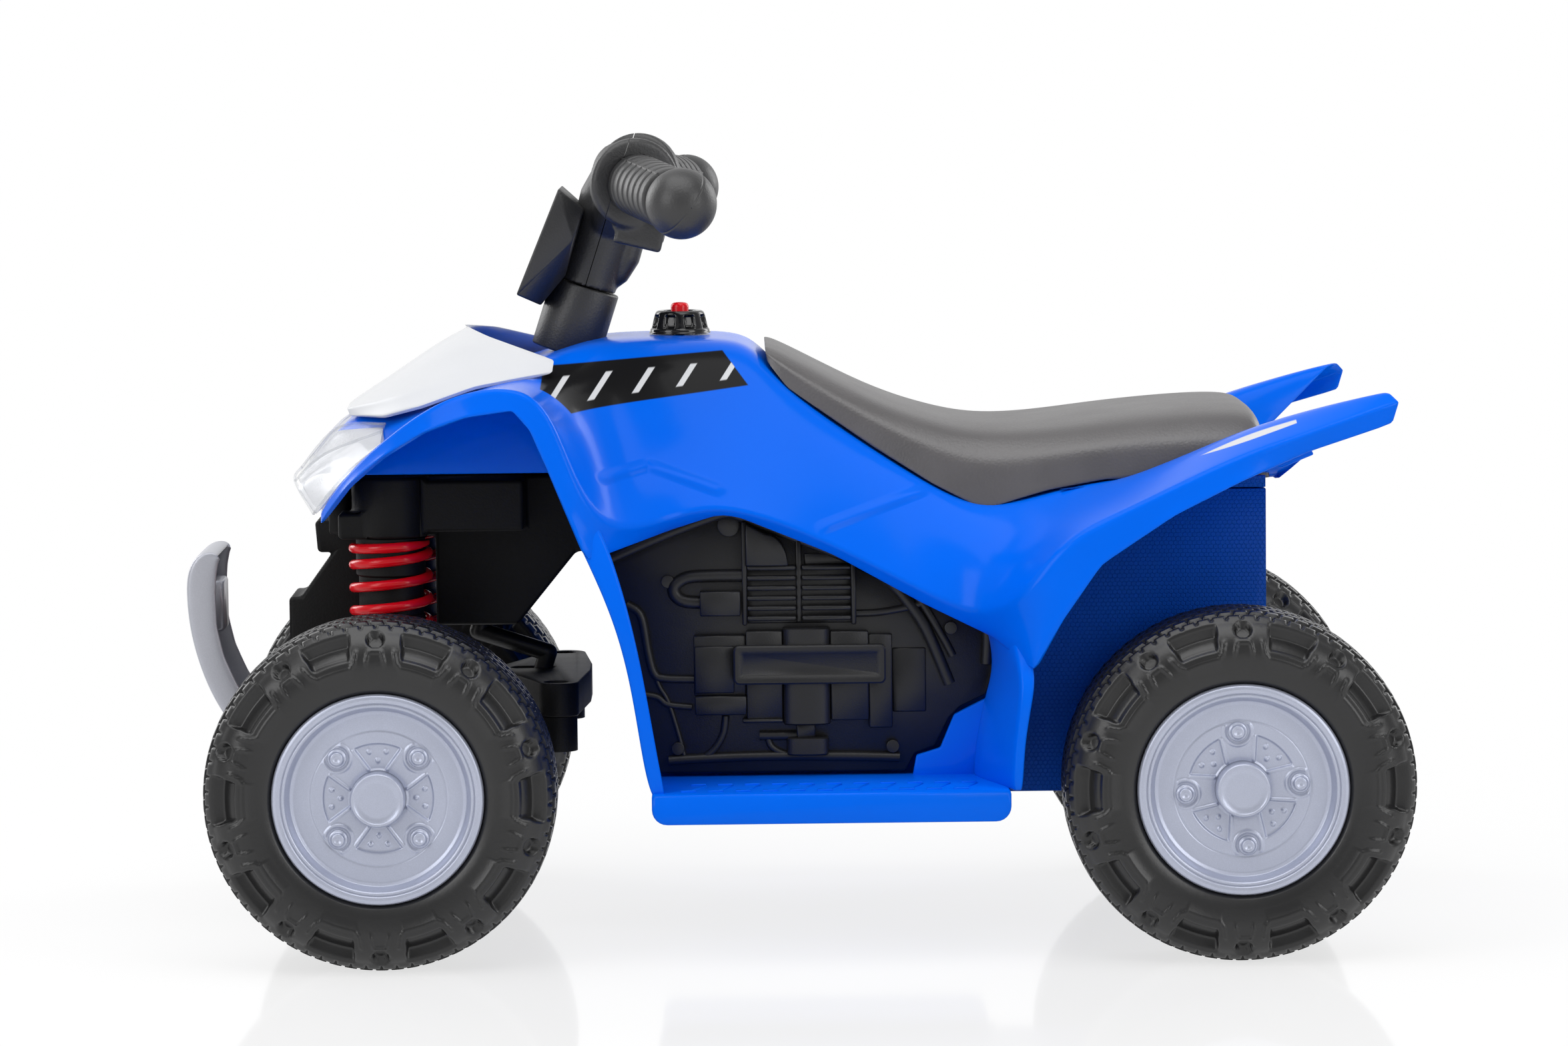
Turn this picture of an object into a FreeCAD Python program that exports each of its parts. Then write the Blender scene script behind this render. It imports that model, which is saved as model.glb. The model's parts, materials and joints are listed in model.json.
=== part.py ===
import FreeCAD
import Part
import math
import os

# Toddler quad bike. Lengths in mm, +X to the rear, +Y to the rider's right, +Z up, origin on the floor.
os.makedirs("parts", exist_ok=True)
Vec = FreeCAD.Vector

# Whole vehicle
overall_length = 655.0
overall_width = 380.0
front_overhang = 112.5
footrest_top_z = 93.0
tank_top_z = 323.0
body_side_inset = 23.0
body_wall = 3.0
seat_gap = 0.3
running_gap = 0.08
overrun = 5.0

# Wheels
tyre_diameter = 185.0
tyre_width = 76.0
tyre_wall = 3.2
rim_share = 0.6
rim_inset = 2.0
rim_depth = 12.0
rim_web = 4.0
bolt_circle = 29.0
bolt_radius = 4.5
bolt_height = 3.5
bolt_count = 4
front_bolt_turn = 45.0
rear_bolt_turn = 5.0
wheel_hub_radius = 14.0
hub_end_inset = 16.0
cap_radius = 14.4
cap_wall = 3.0
axle_radius = 5.0
axle_end_inset = 7.0
nut_flats = 16.0
nut_thickness = 8.0
nut_sides = 6
lug_count = 10
lug_angle = 24.0

# Lower tub
tub_front_gap = 141.0
tub_rear_overhang = 19.5
tub_bottom_z = 82.0
tub_wall = 3.0
tub_mid_inset = 26.0
tub_mid_top_z = 205.0
tub_tyre_gap = 10.0
tub_rear_length = 118.0
tub_side_top_z = 243.0
bay_depth = 55.0
bay_rise = 72.5
bracket_drop = 18.5
bulkhead_half_width = 35.0
tail_inset = 14.0

# Legs, footrests and side panels
leg_inset = 24.0
leg_plate = 4.0
footrest_height = 18.0
footrest_side_inset = 20.0
footrest_front_gap = 142.0
footrest_rear_gap = 120.0
tread_height = 1.5
tread_width = 4.0
tread_count = 8
panel_inset = 16.0
panel_plate = 3.0
panel_gap = 0.5
boss_radius = 5.0
screw_radius = 1.5
screw_head_radius = 3.5
screw_head_height = 2.0
screw_length = 11.0
relief_mid = 5.0
relief_high = 8.0
hose_radius = 3.2
switch_half_length = 7.0
switch_half_height = 5.0
switch_depth = 3.0
switch_proud = 4.5
switch_dip = 2.0
switch_clearance = 1.4
socket_radius = 6.0
socket_flange = 8.0
socket_bore = 2.8
socket_length = 12.0
socket_back = 3.0

# Front carrier, bumper and nose
carrier_front_gap = 25.0
carrier_bottom_z = 168.5
carrier_top_z = 250.0
carrier_inset = 24.0
carrier_wall = 3.0
tower_radius = 20.5
tower_bottom_z = 219.5
tower_top_z = 252.5
tower_arm_length = 72.0
tower_block_reach = 27.0
tower_block_height = 14.0
tower_block_share = 0.8
leg_beam_share = 0.54
bumper_half_width = 36.0
bumper_wall = 4.0
bumper_reach = 45.8
bumper_bottom_z = 96.0
bumper_top_z = 209.5
cowl_wall = 2.5
lens_wall = 2.0
bowl_back_radius = 6.0
bowl_front_radius = 9.0
bowl_depth = 6.0
bowl_wall = 1.5
bowl_back_share = 0.75

# Kingpins, springs, knuckles and tie bar
kingpin_setback = 2.0
kingpin_inset = 42.0
kingpin_radius = 9.0
kingpin_drop = 26.5
strut_radius = 17.2
strut_collar_radius = 23.0
strut_collar_height = 3.7
wire_radius = 2.6
coil_radius = 20.2
closed_pitch = 5.8
open_turns = 5
samples_per_turn = 40
knuckle_drop = 18.5
knuckle_top_z = 142.0
knuckle_radius = 17.0
stub_boss_radius = 12.0
stub_inset = 12.0
arm_length = 89.0
arm_half_width = 7.0
arm_bottom_z = 103.0
arm_top_z = 117.0
arm_boss_radius = 10.0
arm_pin_radius = 5.0
arm_pin_top_z = 138.0
tie_bottom_z = 122.0
tie_top_z = 140.0
tie_reach = 16.0
tie_boss_radius = 11.0
tie_pin_clearance = 0.4
crank_clearance = 0.6

# Steering column and handlebar
column_setback = 98.0
column_lean = 18.0
steering_lock = 30.0
steering_rod_radius = 5.0
crank_radius = 40.0
crank_drop = 171.0
crank_pin_length = 36.0
rod_top = 80.0
guide_radius = 10.0
guide_top_drop = 14.0
sleeve_radius = 19.0
sleeve_bottom_drop = 10.0
sleeve_top = 28.0
column_hole_clearance = 1.5
head_radius = 17.0
head_height = 70.0
bar_height = 94.0
bar_radius = 13.0
collar_sweep = 8.0
collar_y = 65.0
collar_fall = 5.0
collar_radius = 25.0
collar_thickness = 9.0
ball_sweep = 34.0
ball_y = 150.0
ball_fall = 13.5
ball_radius = 18.8
grip_radius = 14.0
grip_rib_radius = 16.0
grip_rib_count = 7
grip_rib_width = 4.0
spigot_radius = 8.0
spigot_length = 62.0
block_half_length = 9.0
block_width = 14.0
block_drop = 30.0
half_split = 0.1
pod_half_width = 36.0
pod_bottom = 16.0
pod_height = 62.0
pod_depth = 17.0

# Tank cap, button and switch
fuel_cap_setback = 158.0
fuel_cap_radius = 16.5
fuel_cap_top_radius = 13.0
fuel_cap_height = 12.5
flute_count = 8
flute_radius = 3.5
flute_circle = 18.0
button_radius = 4.9
button_clearance = 0.2
button_proud = 4.5
button_length = 12.0
button_stem_radius = 2.5
button_stem_length = 10.0
stem_clearance = 1.0
drive_switch_half_length = 10.0
drive_switch_half_width = 7.0
drive_switch_height = 18.0

# Seat
seat_wall = 3.0
seat_lift = 1.0
seat_front_share = 0.35
seat_first_station = 10
seat_rear_overhang = 5.0
seat_rear_rise = 4.0

# Drive and power
gear_module = 1.25
drive_teeth = 48
small_teeth = 12
fast_module = 1.0
large_teeth = 36
pinion_teeth = 10
gear_width = 8.0
fast_gear_width = 6.0
gear_backlash = 0.12
pressure_angle = 20.0
flank_steps = 4
dedendum_share = 1.25
compound_angle = 140.0
pinion_angle = 60.0
case_inset = 44.0
case_wall = 2.5
case_split_inset = 24.0
case_split_gap = 0.15
tooth_clearance = 2.0
first_layer_inset = 38.0
second_layer_inset = 26.0
drive_sleeve_radius = 9.0
gear_pin_radius = 2.0
motor_radius = 14.0
motor_length = 39.0
motor_shaft_radius = 1.5
battery_rear_gap = 87.0
battery_length = 70.0
battery_half_width = 24.0
battery_height = 102.0
terminal_size = 6.0
strap_width = 14.0
strap_thickness = 2.0
wire_lead_radius = 2.0
lead_bend = 10.0
lead_hole_clearance = 1.0
lead_rise = 36.0
lead_offset = 12.0
motor_lead_inset = 8.4

# Shares, chosen by hand: x of the wheelbase behind the front axle, y of the half width,
# z of the rise from footrest to tank top; stations run from nose to tail
seam_shares = [
    (-0.095, 0.24, 0.70), (-0.055, 0.25, 0.82), (0.0, 0.27, 0.85), (0.05, 0.29, 0.885),
    (0.105, 0.30, 0.915), (0.155, 0.30, 0.94), (0.20, 0.30, 0.965), (0.235, 0.30, 0.99), (0.28, 0.30, 1.0),
    (0.40, 0.31, 1.0), (0.44, 0.34, 0.985), (0.48, 0.41, 0.885), (0.58, 0.48, 0.75),
    (0.65, 0.54, 0.665), (0.71, 0.57, 0.605), (0.785, 0.60, 0.65), (0.855, 0.61, 0.675),
    (0.93, 0.61, 0.675), (0.99, 0.61, 0.675), (1.03, 0.60, 0.675), (1.06, 0.59, 0.675)]
shoulder_shares = [
    (-0.085, 0.36, 0.64), (-0.045, 0.40, 0.735), (0.01, 0.47, 0.815), (0.055, 0.50, 0.855),
    (0.105, 0.515, 0.89), (0.16, 0.525, 0.92), (0.20, 0.525, 0.925), (0.24, 0.525, 0.915),
    (0.285, 0.525, 0.89), (0.35, 0.515, 0.875), (0.435, 0.50, 0.865), (0.49, 0.525, 0.805),
    (0.59, 0.575, 0.685), (0.665, 0.61, 0.615), (0.725, 0.645, 0.575), (0.795, 0.66, 0.63),
    (0.86, 0.635, 0.67), (0.935, 0.635, 0.74), (1.005, 0.635, 0.795), (1.075, 0.66, 0.84),
    (1.16, 0.755, 0.875)]
flank_shares = [
    (-0.08, 0.455, 0.62), (-0.04, 0.55, 0.69), (0.015, 0.68, 0.775), (0.055, 0.74, 0.85),
    (0.105, 0.765, 0.895), (0.16, 0.78, 0.925), (0.20, 0.765, 0.89), (0.23, 0.74, 0.815),
    (0.275, 0.705, 0.69), (0.345, 0.67, 0.715), (0.415, 0.67, 0.69), (0.52, 0.67, 0.62),
    (0.62, 0.685, 0.515), (0.695, 0.73, 0.455), (0.75, 0.84, 0.485), (0.795, 0.85, 0.595),
    (0.86, 0.825, 0.645), (0.935, 0.815, 0.71), (1.005, 0.80, 0.77), (1.08, 0.78, 0.815),
    (1.17, 0.79, 0.87)]
crest_shares = [
    (-0.08, 0.515, 0.605), (-0.04, 0.685, 0.715), (0.005, 0.84, 0.795), (0.055, 0.93, 0.87),
    (0.105, 0.975, 0.915), (0.165, 0.99, 0.925), (0.20, 0.99, 0.875), (0.22, 0.99, 0.77),
    (0.26, 0.975, 0.57), (0.34, 0.73, 0.605), (0.405, 0.725, 0.645), (0.53, 0.725, 0.545),
    (0.635, 0.73, 0.43), (0.705, 0.765, 0.37), (0.74, 0.97, 0.415), (0.795, 0.99, 0.56),
    (0.855, 0.99, 0.615), (0.925, 0.99, 0.68), (1.005, 0.96, 0.75), (1.08, 0.90, 0.79),
    (1.18, 0.825, 0.85)]
lip_shares = [
    (-0.08, 0.525, 0.585), (-0.04, 0.70, 0.685), (0.005, 0.855, 0.76), (0.055, 0.945, 0.82),
    (0.105, 0.99, 0.855), (0.16, 1.0, 0.87), (0.18, 1.0, 0.825), (0.20, 1.0, 0.735),
    (0.245, 0.995, 0.525), (0.34, 0.705, 0.575), (0.405, 0.70, 0.615), (0.53, 0.70, 0.515),
    (0.635, 0.705, 0.40), (0.715, 0.755, 0.325), (0.76, 0.99, 0.265), (0.795, 1.0, 0.38),
    (0.84, 1.0, 0.505), (0.925, 1.0, 0.615), (1.005, 0.97, 0.69), (1.085, 0.885, 0.75),
    (1.175, 0.825, 0.815)]
cowl_edge_shares = [(-0.05, 0.24, 0.835), (-0.005, 0.42, 0.84), (0.045, 0.50, 0.865), (0.11, 0.52, 0.91),
                    (0.205, 0.525, 0.95)]
cowl_mid_shares = [(-0.055, 0.165, 0.84), (-0.01, 0.27, 0.88), (0.035, 0.29, 0.935), (0.08, 0.30, 0.99),
                   (0.125, 0.31, 1.015)]
cowl_ridge_shares = [(-0.055, 0.0, 0.845), (-0.015, 0.0, 0.90), (0.02, 0.0, 0.95), (0.055, 0.0, 0.995),
                     (0.085, 0.0, 1.035)]
lens_top_shares = [(-0.105, 0.265, 0.71), (-0.06, 0.30, 0.805), (0.0, 0.44, 0.82)]
lens_mid_shares = [(-0.11, 0.37, 0.685), (-0.07, 0.50, 0.755), (0.0, 0.585, 0.81)]
lens_low_shares = [(-0.085, 0.50, 0.615), (-0.045, 0.645, 0.71), (0.005, 0.74, 0.79)]

# Front leg wall and rear leg edges, as x and z shares down to the footrest
front_leg_shares = [(0.245, 0.525), (0.27, 0.385), (0.29, 0.245), (0.305, 0.04), (0.31, 0.0)]
front_flange_shares = [(0.26, 0.57), (0.285, 0.395), (0.30, 0.24), (0.31, 0.07), (0.32, 0.0)]
rear_front_shares = [(0.705, 0.37), (0.71, 0.25), (0.70, 0.15), (0.70, 0.0)]
rear_lip_shares = [(0.76, 0.265), (0.735, 0.16), (0.73, 0.0)]
corner_shares = [(0.625, 0.0), (0.65, 0.035), (0.68, 0.135), (0.705, 0.165), (0.705, 0.0)]
arch_wall_top_shares = [(-0.03, 0.675), (0.005, 0.785), (0.055, 0.85), (0.105, 0.885), (0.16, 0.915),
                        (0.20, 0.91), (0.23, 0.885)]
arch_wall_bottom_share = 0.705
seat_top_shares = [0.985, 0.965, 0.86, 0.815, 0.79, 0.795, 0.813, 0.828, 0.835, 0.833, 0.813]
seat_section_shares = [(1.0, 0.0), (0.96, 0.6), (0.8, 0.93), (0.0, 1.0)]

# Places derived from the sizes above
tyre_radius = tyre_diameter / 2
axle_z = tyre_radius
rim_radius = tyre_radius * rim_share
wheelbase = overall_length - tyre_radius - front_overhang
rear_axle_x = overall_length / 2 - tyre_radius
front_axle_x = rear_axle_x - wheelbase
wheel_y = (overall_width - tyre_width) / 2
tyre_inner_y = overall_width / 2 - tyre_width
body_half_width = overall_width / 2 - body_side_inset
body_rise = tank_top_z - footrest_top_z
leg_inner_y = tyre_inner_y - leg_inset
panel_inner_y = tyre_inner_y - panel_inset
footrest_outer_y = overall_width / 2 - footrest_side_inset
footrest_length = wheelbase - footrest_front_gap - footrest_rear_gap
tub_mid_half_width = tyre_inner_y - tub_mid_inset
tub_rear_half_width = tyre_inner_y - tub_tyre_gap
tail_half_width = tub_rear_half_width - tail_inset
bay_roof_z = axle_z + bay_rise
tub_front_x = front_axle_x + tub_front_gap
tub_rear_x = rear_axle_x + tub_rear_overhang
kingpin_x = front_axle_x + kingpin_setback
kingpin_y = tyre_inner_y - kingpin_inset
kingpin_bottom_z = axle_z - kingpin_drop
knuckle_bottom_z = axle_z - knuckle_drop
carrier_half_width = kingpin_y - carrier_inset
leg_beam_half_width = carrier_half_width * leg_beam_share
tie_pin_x = kingpin_x + arm_length
column_x = front_axle_x + column_setback
lean = math.radians(column_lean)
case_inner_y = tub_rear_half_width - case_inset
case_split_y = tub_rear_half_width - case_split_inset
first_layer_y = tub_rear_half_width - first_layer_inset
second_layer_y = tub_rear_half_width - second_layer_inset
motor_back_y = case_inner_y - motor_length - 2 * seat_gap
motor_lead_y = motor_back_y - motor_lead_inset
panel_outer_y = panel_inner_y + panel_plate
hub_inner_y = wheel_y - tyre_width / 2
hub_outer_y = wheel_y + tyre_width / 2 - hub_end_inset
axle_end_y = wheel_y + tyre_width / 2 - axle_end_inset


def mean(values):
    """Average of a list of vectors."""
    total = Vec(0, 0, 0)
    for value in values:
        total = total + value
    return total * (1 / len(values))


def box(x0, x1, y0, y1, z0, z1):
    """Block between two corners."""
    return Part.makeBox(x1 - x0, y1 - y0, z1 - z0, Vec(x0, y0, z0))


def rod(radius, start, end):
    """Round bar between two points."""
    return Part.makeCylinder(radius, (end - start).Length, start, end - start)


def prism(outline, y0, y1):
    """Side outline of (x, z) points, extruded across the vehicle."""
    points = [Vec(x, y0, z) for x, z in outline]
    return Part.Face(Part.makePolygon(points + points[:1])).extrude(Vec(0, y1 - y0, 0))


def plan_prism(outline, z0, z1):
    """Plan outline of (x, y) points, extruded upward."""
    points = [Vec(x, y, z0) for x, y in outline]
    return Part.Face(Part.makePolygon(points + points[:1])).extrude(Vec(0, 0, z1 - z0))


def turned(profile, centre, angle=360.0):
    """Profile of (radius, y) points, revolved about the Y axis through centre."""
    points = [centre + Vec(radius, y, 0) for radius, y in profile]
    return Part.Face(Part.makePolygon(points + points[:1])).revolve(centre, Vec(0, 1, 0), angle)


def joined(shapes):
    """Single fused shape."""
    return shapes[0].fuse(shapes[1:])


def mirrored(shape):
    """Copy on the other side of the vehicle."""
    return shape.mirror(Vec(0, 0, 0), Vec(0, 1, 0))


def save(name, shape):
    """Write one node, and print how many solids it has."""
    shape.exportStep("parts/" + name + ".step")
    print(name, "solids", len(shape.Solids), "valid", shape.isValid(), "volume", round(shape.Volume))


def save_pair(name, left):
    """Write a left node and its mirror image."""
    save(name + "_left", left)
    save(name + "_right", mirrored(left))


def body_x(share):
    """Place along the body, as a share of the wheelbase behind the front axle."""
    return front_axle_x + share * wheelbase


def body_z(share):
    """Height on the body, as a share of the rise above the footrest."""
    return footrest_top_z + share * body_rise


def body_rail(shares, side):
    """Rail of body points on one side."""
    return [Vec(body_x(x), side * y * body_half_width, body_z(z)) for x, y, z in shares]


def side_outline(shares):
    """Side outline in the body's shares."""
    return [(body_x(x), body_z(z)) for x, z in shares]


def both_sides(tables, ridge):
    """Rails from the left edge over the ridge to the right edge."""
    left = [body_rail(table, -1) for table in tables]
    right = [body_rail(table, 1) for table in reversed(tables)]
    return left + [ridge] + right


def rail_normal(rails, row, column):
    """Outward direction of a rail point, from its neighbours."""
    last_row = len(rails) - 1
    last_column = len(rails[0]) - 1
    along = rails[row][min(column + 1, last_column)] - rails[row][max(column - 1, 0)]
    across = rails[min(row + 1, last_row)][column] - rails[max(row - 1, 0)][column]
    return along.cross(across).normalize()


def skin(rails, wall):
    """Thin-walled solid under a net of rails."""
    rows = len(rails)
    columns = len(rails[0])
    under = [[rails[r][c] - rail_normal(rails, r, c) * wall for c in range(columns)] for r in range(rows)]
    faces = []

    def quad(a, b, c, d):
        for corners in ([a, b, c], [a, c, d]):
            faces.append(Part.Face(Part.makePolygon(corners + corners[:1])))

    for r in range(rows - 1):
        for c in range(columns - 1):
            quad(rails[r][c], rails[r][c + 1], rails[r + 1][c + 1], rails[r + 1][c])
            quad(under[r][c], under[r][c + 1], under[r + 1][c + 1], under[r + 1][c])
        for c in (0, columns - 1):
            quad(rails[r][c], rails[r + 1][c], under[r + 1][c], under[r][c])
    for c in range(columns - 1):
        for r in (0, rows - 1):
            quad(rails[r][c], rails[r][c + 1], under[r][c + 1], under[r][c])
    solid = Part.Solid(Part.Shell(faces))
    if solid.Volume < 0:
        solid.reverse()
    return solid


def column_point(up, back=0.0, side=0.0):
    """Point by height along the leaning column axis, distance behind it and distance to the right."""
    axis = Vec(math.sin(lean), 0, math.cos(lean))
    rearward = Vec(math.cos(lean), 0, -math.sin(lean))
    return Vec(column_x, side, tank_top_z) + axis * up + rearward * back


def column_outline(points):
    """Side outline from (up, back) points in the column's own axes."""
    placed = [column_point(up, back) for up, back in points]
    return [(point.x, point.z) for point in placed]


def involute_gear(teeth, module, width, centre):
    """Spur gear on a Y axis, with involute flanks; its first tooth points up."""
    pitch = module * teeth / 2
    base = pitch * math.cos(math.radians(pressure_angle))
    tip = pitch + module
    root = pitch - module * dedendum_share
    lowest = max(base, root)
    half_tooth = math.pi / (2 * teeth) - gear_backlash / (2 * pitch)
    base_half = half_tooth + math.tan(math.acos(base / pitch)) - math.acos(base / pitch)
    flank = []
    for step in range(flank_steps + 1):
        radius = lowest + (tip - lowest) * step / flank_steps
        roll = math.acos(min(1.0, base / radius))
        flank.append((radius, base_half - (math.tan(roll) - roll)))
    outline = []
    for tooth in range(teeth):
        middle = 2 * math.pi * tooth / teeth
        outline.append((root, middle - base_half))
        outline += [(radius, middle - angle) for radius, angle in flank]
        outline += [(radius, middle + angle) for radius, angle in reversed(flank)]
        outline.append((root, middle + base_half))
    points = []
    for radius, angle in outline:
        point = centre + Vec(radius * math.sin(angle), 0, radius * math.cos(angle))
        if not points or (point - points[-1]).Length > running_gap / 4:
            points.append(point)
    return Part.Face(Part.makePolygon(points + points[:1])).extrude(Vec(0, width, 0))


def biarc(start, start_way, end, end_way):
    """Two tangent arcs between two points with given directions."""
    chord = end - start
    ways = start_way + end_way
    bend = 2 * (1 - start_way.dot(end_way))
    reach = (-chord.dot(ways) + math.sqrt(chord.dot(ways) ** 2 + bend * chord.dot(chord))) / bend
    controls = [start + start_way * reach, end - end_way * reach]
    middle = mean(controls)
    edges = []
    for first, control, last in ((start, controls[0], middle), (middle, controls[1], end)):
        half = (first + last) * 0.5
        weight = (first - half).Length / (first - control).Length
        edges.append(Part.Arc(first, (half + control * weight) * (1 / (1 + weight)), last).toShape())
    return edges


def round_lead(points, radius, bend):
    """Lead of straight runs and tangent arcs through a list of corners."""
    edges = []
    start = points[0]
    for before, corner, after in zip(points, points[1:], points[2:]):
        first_way = (corner - before).normalize()
        second_way = (after - corner).normalize()
        arc_start = corner - first_way * bend
        arc_end = corner + second_way * bend
        middle = corner + (second_way - first_way) * bend * (1 - math.sqrt(0.5))
        edges.append(Part.makeLine(start, arc_start))
        edges.append(Part.Arc(arc_start, middle, arc_end).toShape())
        start = arc_end
    edges.append(Part.makeLine(start, points[-1]))
    first = (points[1] - points[0]).normalize()
    ring = Part.Wire([Part.makeCircle(radius, points[0], first)])
    return Part.Wire(edges).makePipeShell([ring], True, False)


# Body shell
def body_shell():
    """Blue upper shell with fenders, tank, leg walls and inner arch walls."""
    ridge = [Vec(body_x(x), 0, body_z(z)) for x, y, z in seam_shares]
    tables = [lip_shares, crest_shares, flank_shares, shoulder_shares, seam_shares]
    upper = skin(both_sides(tables, ridge), body_wall)
    extras = []
    for side in (1, -1):
        extras += [leg_piece if side == 1 else mirrored(leg_piece) for leg_piece in leg_pieces()]
    shell = upper.fuse(extras)
    column_cut = rod(sleeve_radius + column_hole_clearance, column_point(-sleeve_top),
                     column_point(sleeve_top))
    cap_x = front_axle_x + fuel_cap_setback
    stem_hole = rod(button_stem_radius + stem_clearance, Vec(cap_x, 0, tank_top_z - body_wall - overrun),
                    Vec(cap_x, 0, tank_top_z + overrun))
    return shell.cut([column_cut, stem_hole])


def leg_pieces():
    """Leg walls, flanges, corner plate and arch wall of the right side."""
    foot = footrest_top_z + seat_gap
    front = [(x, max(z, foot)) for x, z in side_outline(front_leg_shares)]
    flange = [(x, max(z, foot)) for x, z in side_outline(front_flange_shares)]
    rear = [(x, max(z, foot)) for x, z in side_outline(rear_front_shares)]
    lip = [(x, max(z, foot)) for x, z in side_outline(rear_lip_shares)]
    corner = [(x, max(z, foot)) for x, z in side_outline(corner_shares)]
    arch_top = side_outline(arch_wall_top_shares)
    arch_floor = body_z(arch_wall_bottom_share)
    arch = [(x, z) for x, z in arch_top if z > arch_floor]
    arch += [(arch[-1][0], arch_floor), (arch[0][0], arch_floor)]
    front_wall = front + [(x + body_wall, z) for x, z in reversed(front)]
    rear_wall = rear + [(x + body_wall, z) for x, z in reversed(rear)]
    outer = body_half_width
    return [prism(front_wall, leg_inner_y, outer),
            prism(front + flange[::-1], outer - leg_plate, outer),
            prism(rear_wall, panel_inner_y, outer),
            prism(rear + lip[::-1], outer - leg_plate, outer),
            prism(corner, panel_inner_y, panel_inner_y + leg_plate),
            prism(arch, leg_inner_y, leg_inner_y + body_wall)]


# Lower tub
def main_tub():
    """Open box that carries the battery, the drive bay and the rear axle."""
    rear_start_x = rear_axle_x - tub_rear_length
    bay_x = rear_axle_x - bay_depth
    floor_z = tub_bottom_z + tub_wall
    mid = box(tub_front_x, rear_start_x + tub_wall, -tub_mid_half_width, tub_mid_half_width,
              tub_bottom_z, tub_mid_top_z)
    mid_inner = box(tub_front_x + tub_wall, rear_start_x + tub_wall + overrun,
                    tub_wall - tub_mid_half_width, tub_mid_half_width - tub_wall,
                    floor_z, tub_mid_top_z + overrun)
    bracket_z = axle_z - bracket_drop
    side = [(rear_start_x, tub_bottom_z), (bay_x, tub_bottom_z),
            (rear_axle_x - tub_rear_overhang, bracket_z), (tub_rear_x, bracket_z),
            (tub_rear_x, tub_side_top_z), (bay_x, tub_side_top_z), (rear_start_x, tub_mid_top_z)]
    rear = prism(side, -tub_rear_half_width, tub_rear_half_width)
    inner_y = tub_rear_half_width - tub_wall
    rear_inner = box(rear_start_x + tub_wall, bay_x - tub_wall, -inner_y, inner_y, floor_z,
                     tub_side_top_z + overrun)
    upper_inner = box(bay_x - tub_wall, tub_rear_x - tub_wall, -inner_y, inner_y, bay_roof_z + tub_wall,
                      tub_side_top_z + overrun)
    bay = box(bay_x, tub_rear_x + overrun, -inner_y, inner_y, bracket_z - overrun, bay_roof_z)
    step = box(rear_start_x - overrun, rear_start_x + tub_wall + overrun, tub_wall - tub_mid_half_width,
               tub_mid_half_width - tub_wall, floor_z, tub_mid_top_z + overrun)
    tub = mid.cut(mid_inner).fuse(rear.cut([rear_inner, upper_inner, bay])).cut(step)
    pan_under = body_z(seam_shares[-1][2]) - body_wall - seat_gap
    tank_under = tank_top_z - body_wall - seat_gap
    bulkhead = box(tub_front_x, tub_front_x + tub_wall, -bulkhead_half_width, bulkhead_half_width,
                   tub_mid_top_z - tub_wall, tank_under)
    tail = box(tub_rear_x - tub_wall, tub_rear_x, -tail_half_width, tail_half_width,
               tub_side_top_z - tub_wall, pan_under)
    tub = tub.fuse([bulkhead, tail])
    axle_hole = rod(axle_radius + seat_gap, Vec(rear_axle_x, -overall_width, axle_z),
                    Vec(rear_axle_x, 0, axle_z))
    sleeve_hole = rod(drive_sleeve_radius + tie_pin_clearance, Vec(rear_axle_x, 0, axle_z),
                      Vec(rear_axle_x, overall_width, axle_z))
    lead_z = gear_places()[2].z
    lead_hole = rod(wire_lead_radius + lead_hole_clearance,
                    Vec(bay_x - tub_wall - overrun, motor_lead_y, lead_z),
                    Vec(bay_x + overrun, motor_lead_y, lead_z))
    return tub.cut([axle_hole, sleeve_hole, lead_hole])


# Front carrier, bumper and nose pieces
carrier_shares = [(0.0, 1.0), (1.0, 1.0), (1.0, 0.485), (0.76, 0.485), (0.565, 0.0), (0.30, 0.0),
                  (0.30, 0.6), (0.0, 0.6)]
carrier_leg_shares = [(0.355, 0.85), (0.495, 0.85), (0.775, 0.93), (0.775, 0.16), (0.48, 0.0), (0.0, 0.0),
                      (0.0, 0.11), (0.14, 0.19), (0.14, 0.575), (0.235, 0.575), (0.49, 0.735), (0.375, 0.735)]
bumper_front_shares = [(0.16, 1.0), (0.0, 0.89), (0.03, 0.63), (0.30, 0.29), (0.82, 0.0)]
bumper_back_shares = [(1.0, 0.0), (1.0, 0.12), (0.6, 0.36), (0.38, 0.63), (0.36, 0.84), (0.42, 0.95)]


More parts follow.
